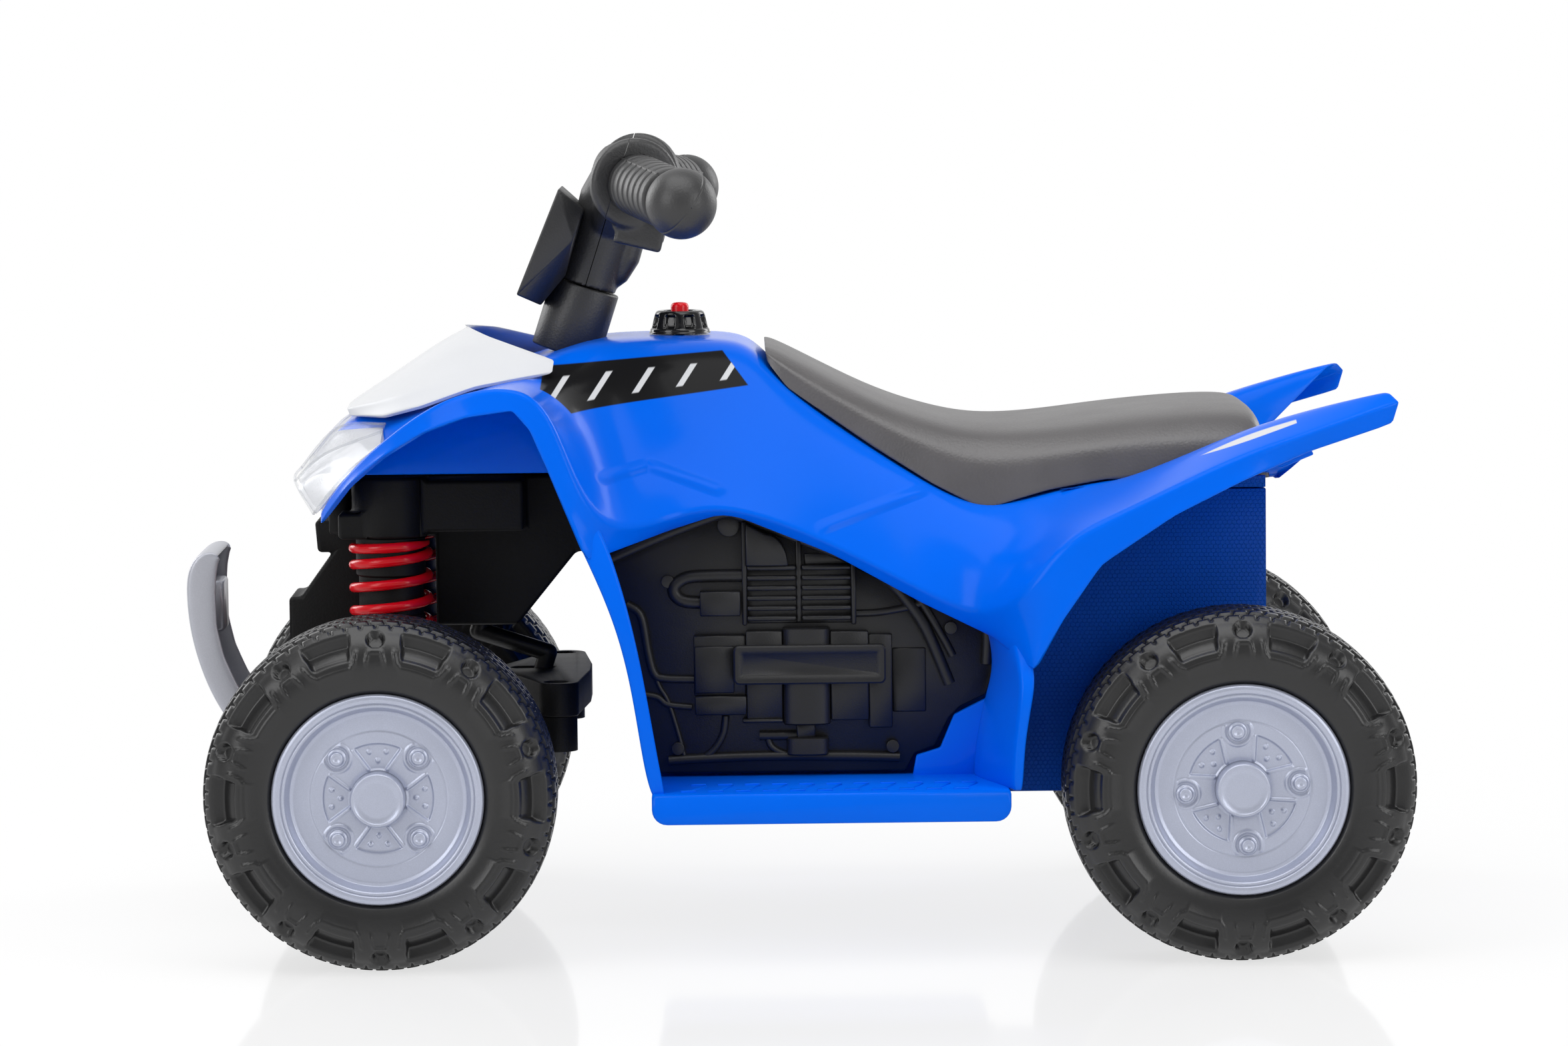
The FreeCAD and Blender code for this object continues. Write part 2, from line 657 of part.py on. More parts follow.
def front_carrier():
    """Black frame with the strut towers, the column guide and the bumper leg."""
    front_x = front_axle_x - carrier_front_gap
    length = tub_front_x - seat_gap - front_x
    height = carrier_top_z - carrier_bottom_z
    outline = [(front_x + x * length, carrier_bottom_z + z * height) for x, z in carrier_shares]
    inner = [(front_x + x * length + (carrier_wall if x < 0.5 else -carrier_wall),
              carrier_bottom_z + z * height + (overrun if z == 1.0 else carrier_wall))
             for x, z in carrier_shares]
    hull = prism(outline, -carrier_half_width, carrier_half_width)
    hull = hull.cut(prism(inner, carrier_wall - carrier_half_width, carrier_half_width - carrier_wall))
    leg_front_x = -overall_length / 2 + bumper_reach + seat_gap
    leg_span = kingpin_x - leg_front_x
    leg_rise = carrier_top_z - carrier_wall - bumper_bottom_z
    leg = [(leg_front_x + x * leg_span, bumper_bottom_z + z * leg_rise) for x, z in carrier_leg_shares]
    pieces = [prism(leg, -leg_beam_half_width, leg_beam_half_width)]
    for side in (-1, 1):
        centre = Vec(kingpin_x, side * kingpin_y, tower_bottom_z)
        pieces.append(rod(tower_radius, centre, Vec(kingpin_x, side * kingpin_y, tower_top_z)))
        inner_edge = side * (carrier_half_width - carrier_wall)
        outer_edge = side * (kingpin_y + tower_radius / 2)
        pieces.append(box(kingpin_x, kingpin_x + tower_arm_length, min(inner_edge, outer_edge),
                          max(inner_edge, outer_edge), tower_bottom_z + carrier_wall, carrier_top_z))
        block_edges = sorted([side * (kingpin_y - tower_radius / 2),
                              side * (kingpin_y + tower_radius * tower_block_share)])
        pieces.append(box(kingpin_x - tower_block_reach, kingpin_x, block_edges[0], block_edges[1],
                          tower_bottom_z, tower_bottom_z + tower_block_height))
    guide_bottom = -(tank_top_z - carrier_bottom_z) / math.cos(lean)
    pieces.append(rod(guide_radius, column_point(guide_bottom), column_point(-guide_top_drop)))
    carrier = hull.fuse(pieces)
    cuts = [rod(steering_rod_radius + running_gap, column_point(guide_bottom - guide_radius),
                column_point(0))]
    for side in (-1, 1):
        cuts.append(rod(strut_radius + seat_gap, Vec(kingpin_x, side * kingpin_y, tower_bottom_z - overrun),
                        Vec(kingpin_x, side * kingpin_y, carrier_top_z)))
    return carrier.cut(cuts)


def front_bumper():
    """Grey channel hoop, open to the rear, with a cross rib."""
    front_x = -overall_length / 2
    height = bumper_top_z - bumper_bottom_z
    outline = [(front_x + x * bumper_reach, bumper_bottom_z + z * height)
               for x, z in bumper_front_shares + bumper_back_shares]
    hoop = prism(outline, -bumper_half_width, bumper_half_width)
    hollow = prism([(x + bumper_wall, z - bumper_wall) for x, z in outline],
                   bumper_wall - bumper_half_width, bumper_half_width - bumper_wall)
    foot = box(front_x, front_x + bumper_reach,
               bumper_wall - bumper_half_width, bumper_half_width - bumper_wall,
               bumper_bottom_z, bumper_bottom_z + height * bumper_back_shares[1][1])
    middle_z = bumper_bottom_z + height / 2
    rib = box(front_x, front_x + bumper_reach, -bumper_half_width, bumper_half_width,
              middle_z - bumper_wall, middle_z + bumper_wall)
    return hoop.cut(hollow.cut([foot, rib]))


def cowl_rails():
    """Rails of the white nose cover."""
    ridge = [Vec(body_x(x), 0, body_z(z)) for x, y, z in cowl_ridge_shares]
    return both_sides([cowl_edge_shares, cowl_mid_shares], ridge)


def headlight_lens():
    """Left clear lens."""
    tables = (lens_low_shares, lens_mid_shares, lens_top_shares)
    return skin([body_rail(table, -1) for table in tables], lens_wall)


def headlight_bowl():
    """Left reflector cup that stands on the nose behind its lens."""
    near = [body_rail(table, -1) for table in (flank_shares, shoulder_shares)]
    front = mean([near[0][0], near[1][0]])
    base = front + (mean([near[0][1], near[1][1]]) - front) * bowl_back_share
    way = (near[1][1] - near[0][0]).cross(near[1][0] - near[0][1]).normalize()
    if way.z < 0:
        way = way * -1
    back = base + way * seat_gap * 2
    cup = Part.makeCone(bowl_back_radius, bowl_front_radius, bowl_depth, back, way)
    hollow = Part.makeCone(bowl_back_radius - bowl_wall, bowl_front_radius - bowl_wall, bowl_depth,
                           back + way * bowl_wall, way)
    return cup.cut(hollow)


# Seat
def seat():
    """Black moulded saddle that stands on the body's pan."""
    pan = body_rail(seam_shares, -1)[seat_first_station:]
    front = pan[0] + (pan[1] - pan[0]) * seat_front_share
    edge = [front] + pan[1:]
    tops = [body_z(share) for share in seat_top_shares]
    edge.append(edge[-1] + Vec(seat_rear_overhang, 0, 0))
    tops.append(edge[-1].z + seat_rear_rise)
    rails = []
    for width_share, height_share in seat_section_shares:
        rail = []
        for point, top in zip(edge, tops):
            low = point.z + seat_lift
            rail.append(Vec(point.x, point.y * width_share, low + (top - low) * height_share))
        rails.append(rail)
    right = [[Vec(p.x, -p.y, p.z) for p in rail] for rail in reversed(rails[:-1])]
    return skin(rails + right, seat_wall)


# Side panels, footrests and their fittings
def panel_front():
    """Front edge of the panel, just behind the leg wall."""
    edge = [(x + body_wall + panel_gap, z) for x, z in side_outline(front_leg_shares)]
    return [(x, max(z, footrest_top_z + panel_gap)) for x, z in edge]


def panel_rear():
    """Rear edge of the panel, just ahead of the corner plate and rear leg."""
    corner = side_outline(corner_shares[:4])
    edge = [(x - 2 * leg_plate, max(z, footrest_top_z + panel_gap)) for x, z in corner[:3]]
    edge.append((edge[-1][0] + leg_plate, corner[3][1] + leg_plate))
    edge.append((body_x(rear_front_shares[0][0]) - 2 * leg_plate, body_z(rear_front_shares[0][1])))
    return edge


panel_brow_shares = [(0.635, 0.40), (0.53, 0.5), (0.405, 0.61), (0.34, 0.575)]
panel_screw_shares = [(0.335, 0.45), (0.345, 0.06), (0.60, 0.06), (0.67, 0.335)]


def panel_places():
    """Screw places on the panel."""
    return side_outline(panel_screw_shares)


relief_boxes_shares = [
    (0.42, 0.50, 0.36, 0.60, "mid"), (0.51, 0.58, 0.36, 0.55, "mid"), (0.385, 0.60, 0.13, 0.31, "high"),
    (0.41, 0.44, 0.12, 0.32, "proud"), (0.56, 0.585, 0.12, 0.32, "proud"), (0.475, 0.52, 0.03, 0.13, "mid"),
    (0.38, 0.42, 0.37, 0.42, "mid")]
fin_columns_shares = [(0.415, 0.505), (0.505, 0.585)]
fin_rows_shares = [0.38, 0.41, 0.44, 0.47, 0.50, 0.53]
fin_height_share = 0.012
hose_runs_shares = [
    [(0.42, 0.45), (0.37, 0.45), (0.355, 0.42), (0.37, 0.39)], [(0.59, 0.47), (0.64, 0.22)],
    [(0.615, 0.47), (0.655, 0.26)], [(0.41, 0.13), (0.395, 0.04)], [(0.44, 0.03), (0.61, 0.03)]]


def relief_pieces():
    """Raised engine-like relief of the right panel."""
    depths = {"mid": relief_mid, "high": relief_high, "proud": relief_high + panel_plate / 2}
    root_y = panel_outer_y - panel_plate / 2
    pieces = []
    for x0, x1, z0, z1, depth in relief_boxes_shares:
        pieces.append(box(body_x(x0), body_x(x1), root_y, panel_outer_y + depths[depth],
                          body_z(z0), body_z(z1)))
    for x0, x1 in fin_columns_shares:
        for row in fin_rows_shares:
            pieces.append(box(body_x(x0), body_x(x1), root_y, panel_outer_y + relief_high,
                              body_z(row), body_z(row + fin_height_share)))
    for run in hose_runs_shares:
        points = [Vec(body_x(x), panel_outer_y, body_z(z)) for x, z in run]
        for start, end in zip(points, points[1:]):
            pieces.append(rod(hose_radius, start, end))
            pieces.append(Part.makeSphere(hose_radius, end))
        pieces.append(Part.makeSphere(hose_radius, points[0]))
    hole_y = panel_inner_y - overrun
    trimmed = joined(pieces)
    return trimmed.cut(box(-overall_length, overall_length, hole_y, panel_outer_y - panel_plate / 2,
                           0, tank_top_z))


switch_place_share = (0.345, 0.20)
socket_place_share = (0.345, 0.115)


def side_panel(with_fittings):
    """Right panel with its bosses, screw holes and, on the right side, fitting holes."""
    outline = panel_front()[::-1] + side_outline(panel_brow_shares)[::-1] + panel_rear()[::-1]
    plate = prism(outline, panel_inner_y, panel_outer_y)
    bosses = [rod(boss_radius, Vec(x, tub_mid_half_width + seat_gap, z), Vec(x, panel_inner_y, z))
              for x, z in panel_places()]
    panel = plate.fuse(bosses + [relief_pieces()])
    holes = [rod(screw_radius + seat_gap, Vec(x, panel_outer_y - screw_length - panel_gap, z),
                 Vec(x, panel_outer_y + overrun, z)) for x, z in panel_places()]
    if with_fittings:
        x, z = body_x(switch_place_share[0]), body_z(switch_place_share[1])
        reach = switch_half_length + switch_clearance
        holes.append(box(x - reach, x + reach, panel_inner_y - overrun, panel_outer_y + overrun,
                         z - switch_half_height - seat_gap, z + switch_half_height + seat_gap))
        x, z = body_x(socket_place_share[0]), body_z(socket_place_share[1])
        holes.append(rod(socket_radius + seat_gap, Vec(x, panel_inner_y - overrun, z),
                         Vec(x, panel_outer_y + overrun, z)))
    return panel.cut(holes)


def panel_screws():
    """Screws of both panels, as separate solids."""
    screws = []
    for x, z in panel_places():
        head = rod(screw_head_radius, Vec(x, panel_outer_y + seat_gap, z),
                   Vec(x, panel_outer_y + seat_gap + screw_head_height, z))
        shank = rod(screw_radius, Vec(x, panel_outer_y - screw_length, z),
                    Vec(x, panel_outer_y + seat_gap, z))
        screw = head.fuse(shank)
        screws += [screw, mirrored(screw)]
    return Part.makeCompound(screws)


def direction_switch():
    """Rocker in the right panel."""
    x, z = body_x(switch_place_share[0]), body_z(switch_place_share[1])
    y = panel_outer_y
    outline = [(x - switch_half_length, y - switch_depth), (x - switch_half_length, y + switch_proud),
               (x, y + switch_proud - switch_dip), (x + switch_half_length, y + switch_proud),
               (x + switch_half_length, y - switch_depth)]
    return plan_prism(outline, z - switch_half_height, z + switch_half_height)


def charge_socket():
    """Round socket in the right panel."""
    x, z = body_x(socket_place_share[0]), body_z(socket_place_share[1])
    flange_y = panel_outer_y + seat_gap
    barrel = rod(socket_radius, Vec(x, flange_y - socket_length, z), Vec(x, flange_y, z))
    flange = rod(socket_flange, Vec(x, flange_y, z), Vec(x, flange_y + screw_head_height, z))
    bore = rod(socket_bore, Vec(x, flange_y - socket_length + socket_back, z),
               Vec(x, flange_y + overrun, z))
    return barrel.fuse(flange).cut(bore)


def footrest():
    """Left platform, open below, with slanted tread bars."""
    x0 = front_axle_x + footrest_front_gap
    x1 = x0 + footrest_length
    inner_y = tub_mid_half_width + seat_gap
    low_z = footrest_top_z - footrest_height
    top_z = footrest_top_z - tread_height
    block = box(x0, x1, -footrest_outer_y, -inner_y, low_z, top_z)
    hollow = box(x0 + body_wall, x1 - body_wall, body_wall - footrest_outer_y, -inner_y - body_wall,
                 low_z - overrun, top_z - body_wall)
    pieces = [block.cut(hollow)]
    pitch = footrest_length / (tread_count + 2)
    inset = 2 * tread_width
    for bar in range(1, tread_count + 1):
        start = x0 + bar * pitch
        outline = [(start, inset - footrest_outer_y), (start + tread_width, inset - footrest_outer_y),
                   (start + tread_width + pitch, -inner_y - inset), (start + pitch, -inner_y - inset)]
        pieces.append(plan_prism(outline, top_z - body_wall / 2, footrest_top_z))
    return joined(pieces)


# Wheels
tyre_outline_shares = [(0.67, -0.96), (0.80, -1.0), (0.90, -0.87), (0.955, -0.68), (0.96, 0.0),
                       (0.955, 0.68), (0.90, 0.87), (0.80, 1.0), (0.65, 0.93), (0.33, 0.74)]
tyre_seat_share = 0.80
tyre_hub_share = 0.80
lug_outline_shares = [(0.88, 0.86), (0.94, 0.88), (0.985, 0.72), (1.0, 0.42), (1.0, 0.05), (0.94, 0.05)]


def inset_outline(points, wall):
    """Open profile moved inward by a wall."""
    moved = []
    for index, point in enumerate(points):
        before = points[max(index - 1, 0)]
        after = points[min(index + 1, len(points) - 1)]
        way = Vec(after[1] - before[1], before[0] - after[0], 0).normalize()
        moved.append((point[0] - way.x * wall, point[1] - way.y * wall))
    return moved


def tyre(centre):
    """Hollow tyre of a left wheel with its hub tube and shoulder lugs."""
    half = tyre_width / 2
    outline = [(rim_radius + seat_gap, -tyre_seat_share * half)]
    outline += [(r * tyre_radius, y * half) for r, y in tyre_outline_shares]
    outline.append((wheel_hub_radius, tyre_hub_share * half))
    carcass = turned(outline + inset_outline(outline, tyre_wall)[::-1], centre)
    hub = rod(wheel_hub_radius, centre - Vec(0, half - hub_end_inset, 0), centre + Vec(0, half, 0))
    lugs = []
    for side, turn_share in ((-1, 0.0), (1, 0.5)):
        profile = [(r * tyre_radius, side * y * half) for r, y in lug_outline_shares]
        wedge = turned(profile, centre, lug_angle)
        for index in range(lug_count):
            lug = wedge.copy()
            turn = 90 - lug_angle / 2 + (index + turn_share) * 360 / lug_count
            lug.rotate(centre, Vec(0, 1, 0), turn)
            lugs.append(lug)
    bore = rod(axle_radius + running_gap, centre - Vec(0, tyre_width, 0), centre + Vec(0, tyre_width, 0))
    return carcass.fuse([hub] + lugs).cut(bore)


rim_shares = [(1.0, 0.1), (0.95, 0.0), (0.88, 0.1), (0.83, 0.62), (0.66, 0.68), (0.64, 0.5), (0.61, 0.74),
              (0.30, 0.76)]


def rim(centre, turn):
    """Dished disc of a left wheel with four bolt heads."""
    face_y = rim_inset - tyre_width / 2
    outer = [(r * rim_radius, face_y + depth * rim_depth) for r, depth in rim_shares]
    outer[-1] = (cap_radius + seat_gap, outer[-1][1])
    back_y = face_y + rim_depth
    profile = outer + [(cap_radius + seat_gap, outer[-1][1] + rim_web), (rim_radius, back_y + rim_web / 2)]
    disc = turned(profile, centre)
    bolts = []
    for index in range(bolt_count):
        angle = math.radians(turn + index * 360 / bolt_count)
        place = centre + Vec(bolt_circle * math.cos(angle), outer[-1][1] + rim_web / 2,
                             bolt_circle * math.sin(angle))
        bolts.append(rod(bolt_radius, place, place - Vec(0, bolt_height + rim_web / 2, 0)))
    return disc.fuse(bolts)


def hub_cap(centre):
    """Cup over the axle nut of a left wheel."""
    half = tyre_width / 2
    inner_y = hub_end_inset - half - seat_gap
    outer_y = rim_inset / 2 - half
    cup = rod(cap_radius, centre + Vec(0, inner_y, 0), centre + Vec(0, outer_y, 0))
    hollow = rod(cap_radius - cap_wall, centre + Vec(0, inner_y, 0), centre + Vec(0, outer_y + cap_wall, 0))
    return cup.cut(hollow)


def axle_nut(x):
    """Hexagon nut on the left end of an axle."""
    radius = nut_flats / (2 * math.cos(math.pi / nut_sides))
    angles = [2 * math.pi * index / nut_sides for index in range(nut_sides)]
    corners = [(x + radius * math.cos(angle), axle_z + radius * math.sin(angle)) for angle in angles]
    nut = prism(corners, -hub_outer_y - seat_gap - nut_thickness, -hub_outer_y - seat_gap)
    return nut.cut(rod(axle_radius + running_gap, Vec(x, -overall_width, axle_z), Vec(x, 0, axle_z)))


def wheels():
    """All four wheels."""
    for name, x, turn in (("front", front_axle_x, front_bolt_turn), ("rear", rear_axle_x, rear_bolt_turn)):
        centre = Vec(x, -wheel_y, axle_z)
        save_pair(name + "_tyre", tyre(centre))
        save_pair(name + "_rim", rim(centre, turn))
        save_pair(name + "_hub_cap", hub_cap(centre))


# Kingpins, springs, knuckles and tie bar
def kingpin():
    """Left strut tube, with its spring collar and the kingpin below."""
    x, y = kingpin_x, -kingpin_y
    collar_z = knuckle_top_z + seat_gap
    tube = rod(strut_radius, Vec(x, y, collar_z), Vec(x, y, carrier_top_z - seat_gap))
    collar = rod(strut_collar_radius, Vec(x, y, collar_z), Vec(x, y, collar_z + strut_collar_height))
    pin = rod(kingpin_radius, Vec(x, y, kingpin_bottom_z), Vec(x, y, collar_z))
    return joined([tube, collar, pin])


def kingpin_nuts():
    """Round nuts under both knuckles, as a list."""
    nuts = []
    for side in (-1, 1):
        y = side * kingpin_y
        nut = rod(stub_boss_radius, Vec(kingpin_x, y, kingpin_bottom_z),
                  Vec(kingpin_x, y, knuckle_bottom_z - seat_gap))
        bore = rod(kingpin_radius + running_gap, Vec(kingpin_x, y, 0), Vec(kingpin_x, y, knuckle_top_z))
        nuts.append(nut.cut(bore))
    return nuts


def spring():
    """Left coil: open turns, then one closed turn under the tower."""
    low_z = knuckle_top_z + seat_gap + strut_collar_height + wire_radius + seat_gap
    high_z = tower_bottom_z - wire_radius - seat_gap
    open_pitch = (high_z - low_z - closed_pitch) / open_turns
    quarters = 4 * (open_turns + 1)
    points = []
    ways = []
    height = low_z
    for step in range(quarters + 1):
        angle = step * math.pi / 2
        pitch = open_pitch if step < 4 * open_turns else closed_pitch
        points.append(Vec(kingpin_x + coil_radius * math.cos(angle),
                          -kingpin_y + coil_radius * math.sin(angle), height))
        way = Vec(-coil_radius * math.sin(angle), coil_radius * math.cos(angle), pitch / (2 * math.pi))
        ways.append(way.normalize())
        height += pitch / 4
    edges = []
    for index in range(quarters):
        edges += biarc(points[index], ways[index], points[index + 1], ways[index + 1])
    path = Part.Wire(edges)
    samples = path.discretize(Number=samples_per_turn * (open_turns + 1))
    gaps = []
    for first in range(len(samples)):
        for second in range(first + samples_per_turn // 2, len(samples)):
            gaps.append((samples[first] - samples[second]).Length - 2 * wire_radius)
    print("spring least gap to itself", round(min(gaps), 2))
    ring = Part.Wire([Part.makeCircle(wire_radius, points[0], ways[0])])
    return path.makePipeShell([ring], True, False)


def knuckle():
    """Left knuckle: sleeve, stub boss, steering arm and its pin."""
    x, y = kingpin_x, -kingpin_y
    sleeve = rod(knuckle_radius, Vec(x, y, knuckle_bottom_z), Vec(x, y, knuckle_top_z))
    stub_x = front_axle_x
    boss = rod(stub_boss_radius, Vec(stub_x, y, axle_z), Vec(stub_x, -hub_inner_y + seat_gap, axle_z))
    arm = box(x, tie_pin_x, y - arm_half_width, y + arm_half_width, arm_bottom_z, arm_top_z)
    end = rod(arm_boss_radius, Vec(tie_pin_x, y, arm_bottom_z), Vec(tie_pin_x, y, tie_bottom_z - seat_gap))
    pin = rod(arm_pin_radius, Vec(tie_pin_x, y, arm_bottom_z), Vec(tie_pin_x, y, arm_pin_top_z))
    bore = rod(kingpin_radius + running_gap, Vec(x, y, 0), Vec(x, y, tank_top_z))
    stub_bore = rod(axle_radius + running_gap, Vec(stub_x, y - stub_inset, axle_z),
                    Vec(stub_x, -overall_width, axle_z))
    return joined([sleeve, boss, arm, end, pin]).cut([bore, stub_bore])


def stub_axle():
    """Left stub axle, held in the knuckle's boss."""
    return rod(axle_radius, Vec(front_axle_x, -kingpin_y - stub_inset, axle_z),
               Vec(front_axle_x, -axle_end_y, axle_z))


def tie_bar():
    """Moulded bar with a crank slot and two pin slots."""
    front_x = tie_pin_x - 2 * tie_reach
    rear_x = tie_pin_x + tie_reach
    half = kingpin_y
    outline = [(front_x, -tie_reach), (front_x, tie_reach), (tie_pin_x - tie_boss_radius, half),
               (tie_pin_x + tie_boss_radius, half), (rear_x, tie_reach), (rear_x, -tie_reach),
               (tie_pin_x + tie_boss_radius, -half), (tie_pin_x - tie_boss_radius, -half)]
    bar = plan_prism(outline, tie_bottom_z, tie_top_z)
    bosses = [rod(tie_boss_radius, Vec(tie_pin_x, y, tie_bottom_z), Vec(tie_pin_x, y, tie_top_z))
              for y in (-half, half)]
    bar = bar.fuse(bosses)
    turn = math.asin(crank_radius * math.sin(math.radians(steering_lock)) / arm_length)
    pin_draw = arm_length * (1 - math.cos(turn))
    low, high = tie_bottom_z - overrun, tie_top_z + overrun
    cuts = []
    hole = arm_pin_radius + tie_pin_clearance
    for y in (-half, half):
        for x in (tie_pin_x, tie_pin_x - pin_draw):
            cuts.append(rod(hole, Vec(x, y, low), Vec(x, y, high)))
        cuts.append(box(tie_pin_x - pin_draw, tie_pin_x, y - hole, y + hole, low, high))
    slot = steering_rod_radius + crank_clearance
    near = crank_pin_x(tie_top_z)
    far = crank_pin_x(tie_bottom_z) - crank_radius * (1 - math.cos(math.radians(steering_lock)))
    cuts.append(box(far - 2 * crank_clearance, near + 2 * crank_clearance, -slot, slot, low, high))
    for x in (far - 2 * crank_clearance, near + 2 * crank_clearance):
        cuts.append(rod(slot, Vec(x, 0, low), Vec(x, 0, high)))
    return bar.cut(cuts)


# Steering column and handlebar
def crank_pin_x(z):
    """Where the crank pin's axis passes a height, with the bar straight."""
    up = (z - tank_top_z + crank_radius * math.sin(lean)) / math.cos(lean)
    return column_point(up, crank_radius).x


def steering_rod():
    """Steel rod, cranked to the rear at its foot."""
    corner = column_point(-crank_drop)
    crank = column_point(-crank_drop, crank_radius)
    foot = column_point(-crank_drop - crank_pin_length, crank_radius)
    radius = steering_rod_radius
    runs = [rod(radius, corner, column_point(rod_top)), rod(radius, corner, crank),
            rod(radius, crank, foot)]
    return joined(runs + [Part.makeSphere(radius, corner), Part.makeSphere(radius, crank)])


def column_sleeve():
    """Black lower column round the rod."""
    sleeve = rod(sleeve_radius, column_point(-sleeve_bottom_drop), column_point(sleeve_top))
    bore = rod(steering_rod_radius + running_gap, column_point(-crank_drop), column_point(rod_top))
    return sleeve.cut(bore)


def grip_points():
    """Collar centre and ball centre of the left grip."""
    hub = column_point(bar_height)
    return (hub + Vec(collar_sweep, -collar_y, -collar_fall), hub + Vec(ball_sweep, -ball_y, -ball_fall))


def handlebar_core():
    """Whole bar moulding before it is split."""
    hub = column_point(bar_height)
    collar, ball = grip_points()
    way = (ball - collar).normalize()
    start = collar - way * (collar_thickness / 2)
    end = collar + way * (collar_thickness / 2)
    left = [rod(bar_radius, hub, collar), rod(collar_radius, start, end),
            rod(spigot_radius, collar, collar + way * spigot_length),
            box(collar.x - block_half_length, collar.x + block_half_length,
                collar.y, collar.y + block_width, collar.z - block_drop, collar.z)]
    head_bottom = sleeve_top + seat_gap
    head = rod(head_radius, column_point(head_bottom), column_point(head_bottom + head_height))
    core = head.fuse(left + [mirrored(shape) for shape in left])
    bore = rod(steering_rod_radius + running_gap, column_point(0), column_point(rod_top + seat_gap))
    return core.cut(bore)


def handlebar_half(core, side):
    """Front or rear half of the bar moulding, cut at its seam."""
    span = overall_length
    edge = side * half_split
    outline = column_outline([(-span, edge), (span, edge), (span, side * span), (-span, side * span)])
    return core.common(prism(outline, -span, span))


def grip():
    """Left ribbed grip with its ball end, bored for the spigot."""
    collar, ball = grip_points()
    way = (ball - collar).normalize()
    start = collar + way * (collar_thickness / 2 + seat_gap)
    length = (ball - start).Length
    pieces = [rod(grip_radius, start, ball), Part.makeSphere(ball_radius, ball)]
    pitch = (length - ball_radius) / grip_rib_count
    for index in range(grip_rib_count):
        place = start + way * (index * pitch + pitch / 4)
        pieces.append(rod(grip_rib_radius, place, place + way * grip_rib_width))
    bore = rod(spigot_radius + running_gap, collar, collar + way * (spigot_length + seat_gap))
    return joined(pieces).cut(bore)


def visor_pod():
    """Black faceted pod ahead of the column."""
    back = -(head_radius + seat_gap)
    top = pod_bottom + pod_height
    points = [(pod_bottom, back - pod_depth), (top - pod_depth / 4, back - pod_depth / 2), (top, back),
              (sleeve_top + pod_depth / 3, back), (pod_bottom, back - pod_depth / 2)]
    return prism(column_outline(points), -pod_half_width, pod_half_width)


# Tank cap, button and switch
def fuel_cap():
    """Fluted knob on the tank."""
    x = front_axle_x + fuel_cap_setback
    base = Vec(x, 0, tank_top_z + seat_gap)
    knob = Part.makeCone(fuel_cap_radius, fuel_cap_top_radius, fuel_cap_height, base)
    cuts = [rod(button_radius + button_clearance, base - Vec(0, 0, overrun),
                base + Vec(0, 0, fuel_cap_height + overrun))]
    for index in range(flute_count):
        angle = 2 * math.pi * index / flute_count
        place = base + Vec(flute_circle * math.cos(angle), flute_circle * math.sin(angle), -overrun)
        cuts.append(rod(flute_radius, place, place + Vec(0, 0, fuel_cap_height + 2 * overrun)))
    return knob.cut(cuts)


def go_button():
    """Red button with its stem, which slides in the cap."""
    x = front_axle_x + fuel_cap_setback
    top_z = tank_top_z + seat_gap + fuel_cap_height + button_proud
    head = rod(button_radius, Vec(x, 0, top_z - button_length), Vec(x, 0, top_z))
    stem_z = top_z - button_length
    return head.fuse(rod(button_stem_radius, Vec(x, 0, stem_z - button_stem_length), Vec(x, 0, stem_z)))


def drive_switch():
    """Switch under the tank top, with a well for the button's stem."""
    x = front_axle_x + fuel_cap_setback
    top_z = tank_top_z - body_wall - seat_gap
    case = box(x - drive_switch_half_length, x + drive_switch_half_length, -drive_switch_half_width,
               drive_switch_half_width, top_z - drive_switch_height, top_z)
    well_z = top_z - drive_switch_height + body_wall
    return case.cut(rod(button_stem_radius + stem_clearance, Vec(x, 0, well_z), Vec(x, 0, top_z + overrun)))


# Drive and power
def gear_places():
    """Axes of the drive gear, the compound gear and the pinion."""
    axle = Vec(rear_axle_x, 0, axle_z)
    first = gear_module * (drive_teeth + small_teeth) / 2
    second = fast_module * (large_teeth + pinion_teeth) / 2
    angle = math.radians(compound_angle)
    compound = axle + Vec(first * math.cos(angle), 0, first * math.sin(angle))
    angle = math.radians(pinion_angle)
    return axle, compound, compound + Vec(second * math.cos(angle), 0, second * math.sin(angle))


def meshed(gear, centre, teeth, partner, partner_teeth):
    """Turn a gear so that its gaps take the teeth of a partner whose first tooth points up."""
    way = centre - partner
    facing = math.degrees(math.atan2(way.x, way.z))
    phase = (facing * partner_teeth / 360.0) % 1.0
    gear.rotate(centre, Vec(0, 1, 0), facing + 180 + (phase + 0.5) * 360.0 / teeth)
    return gear


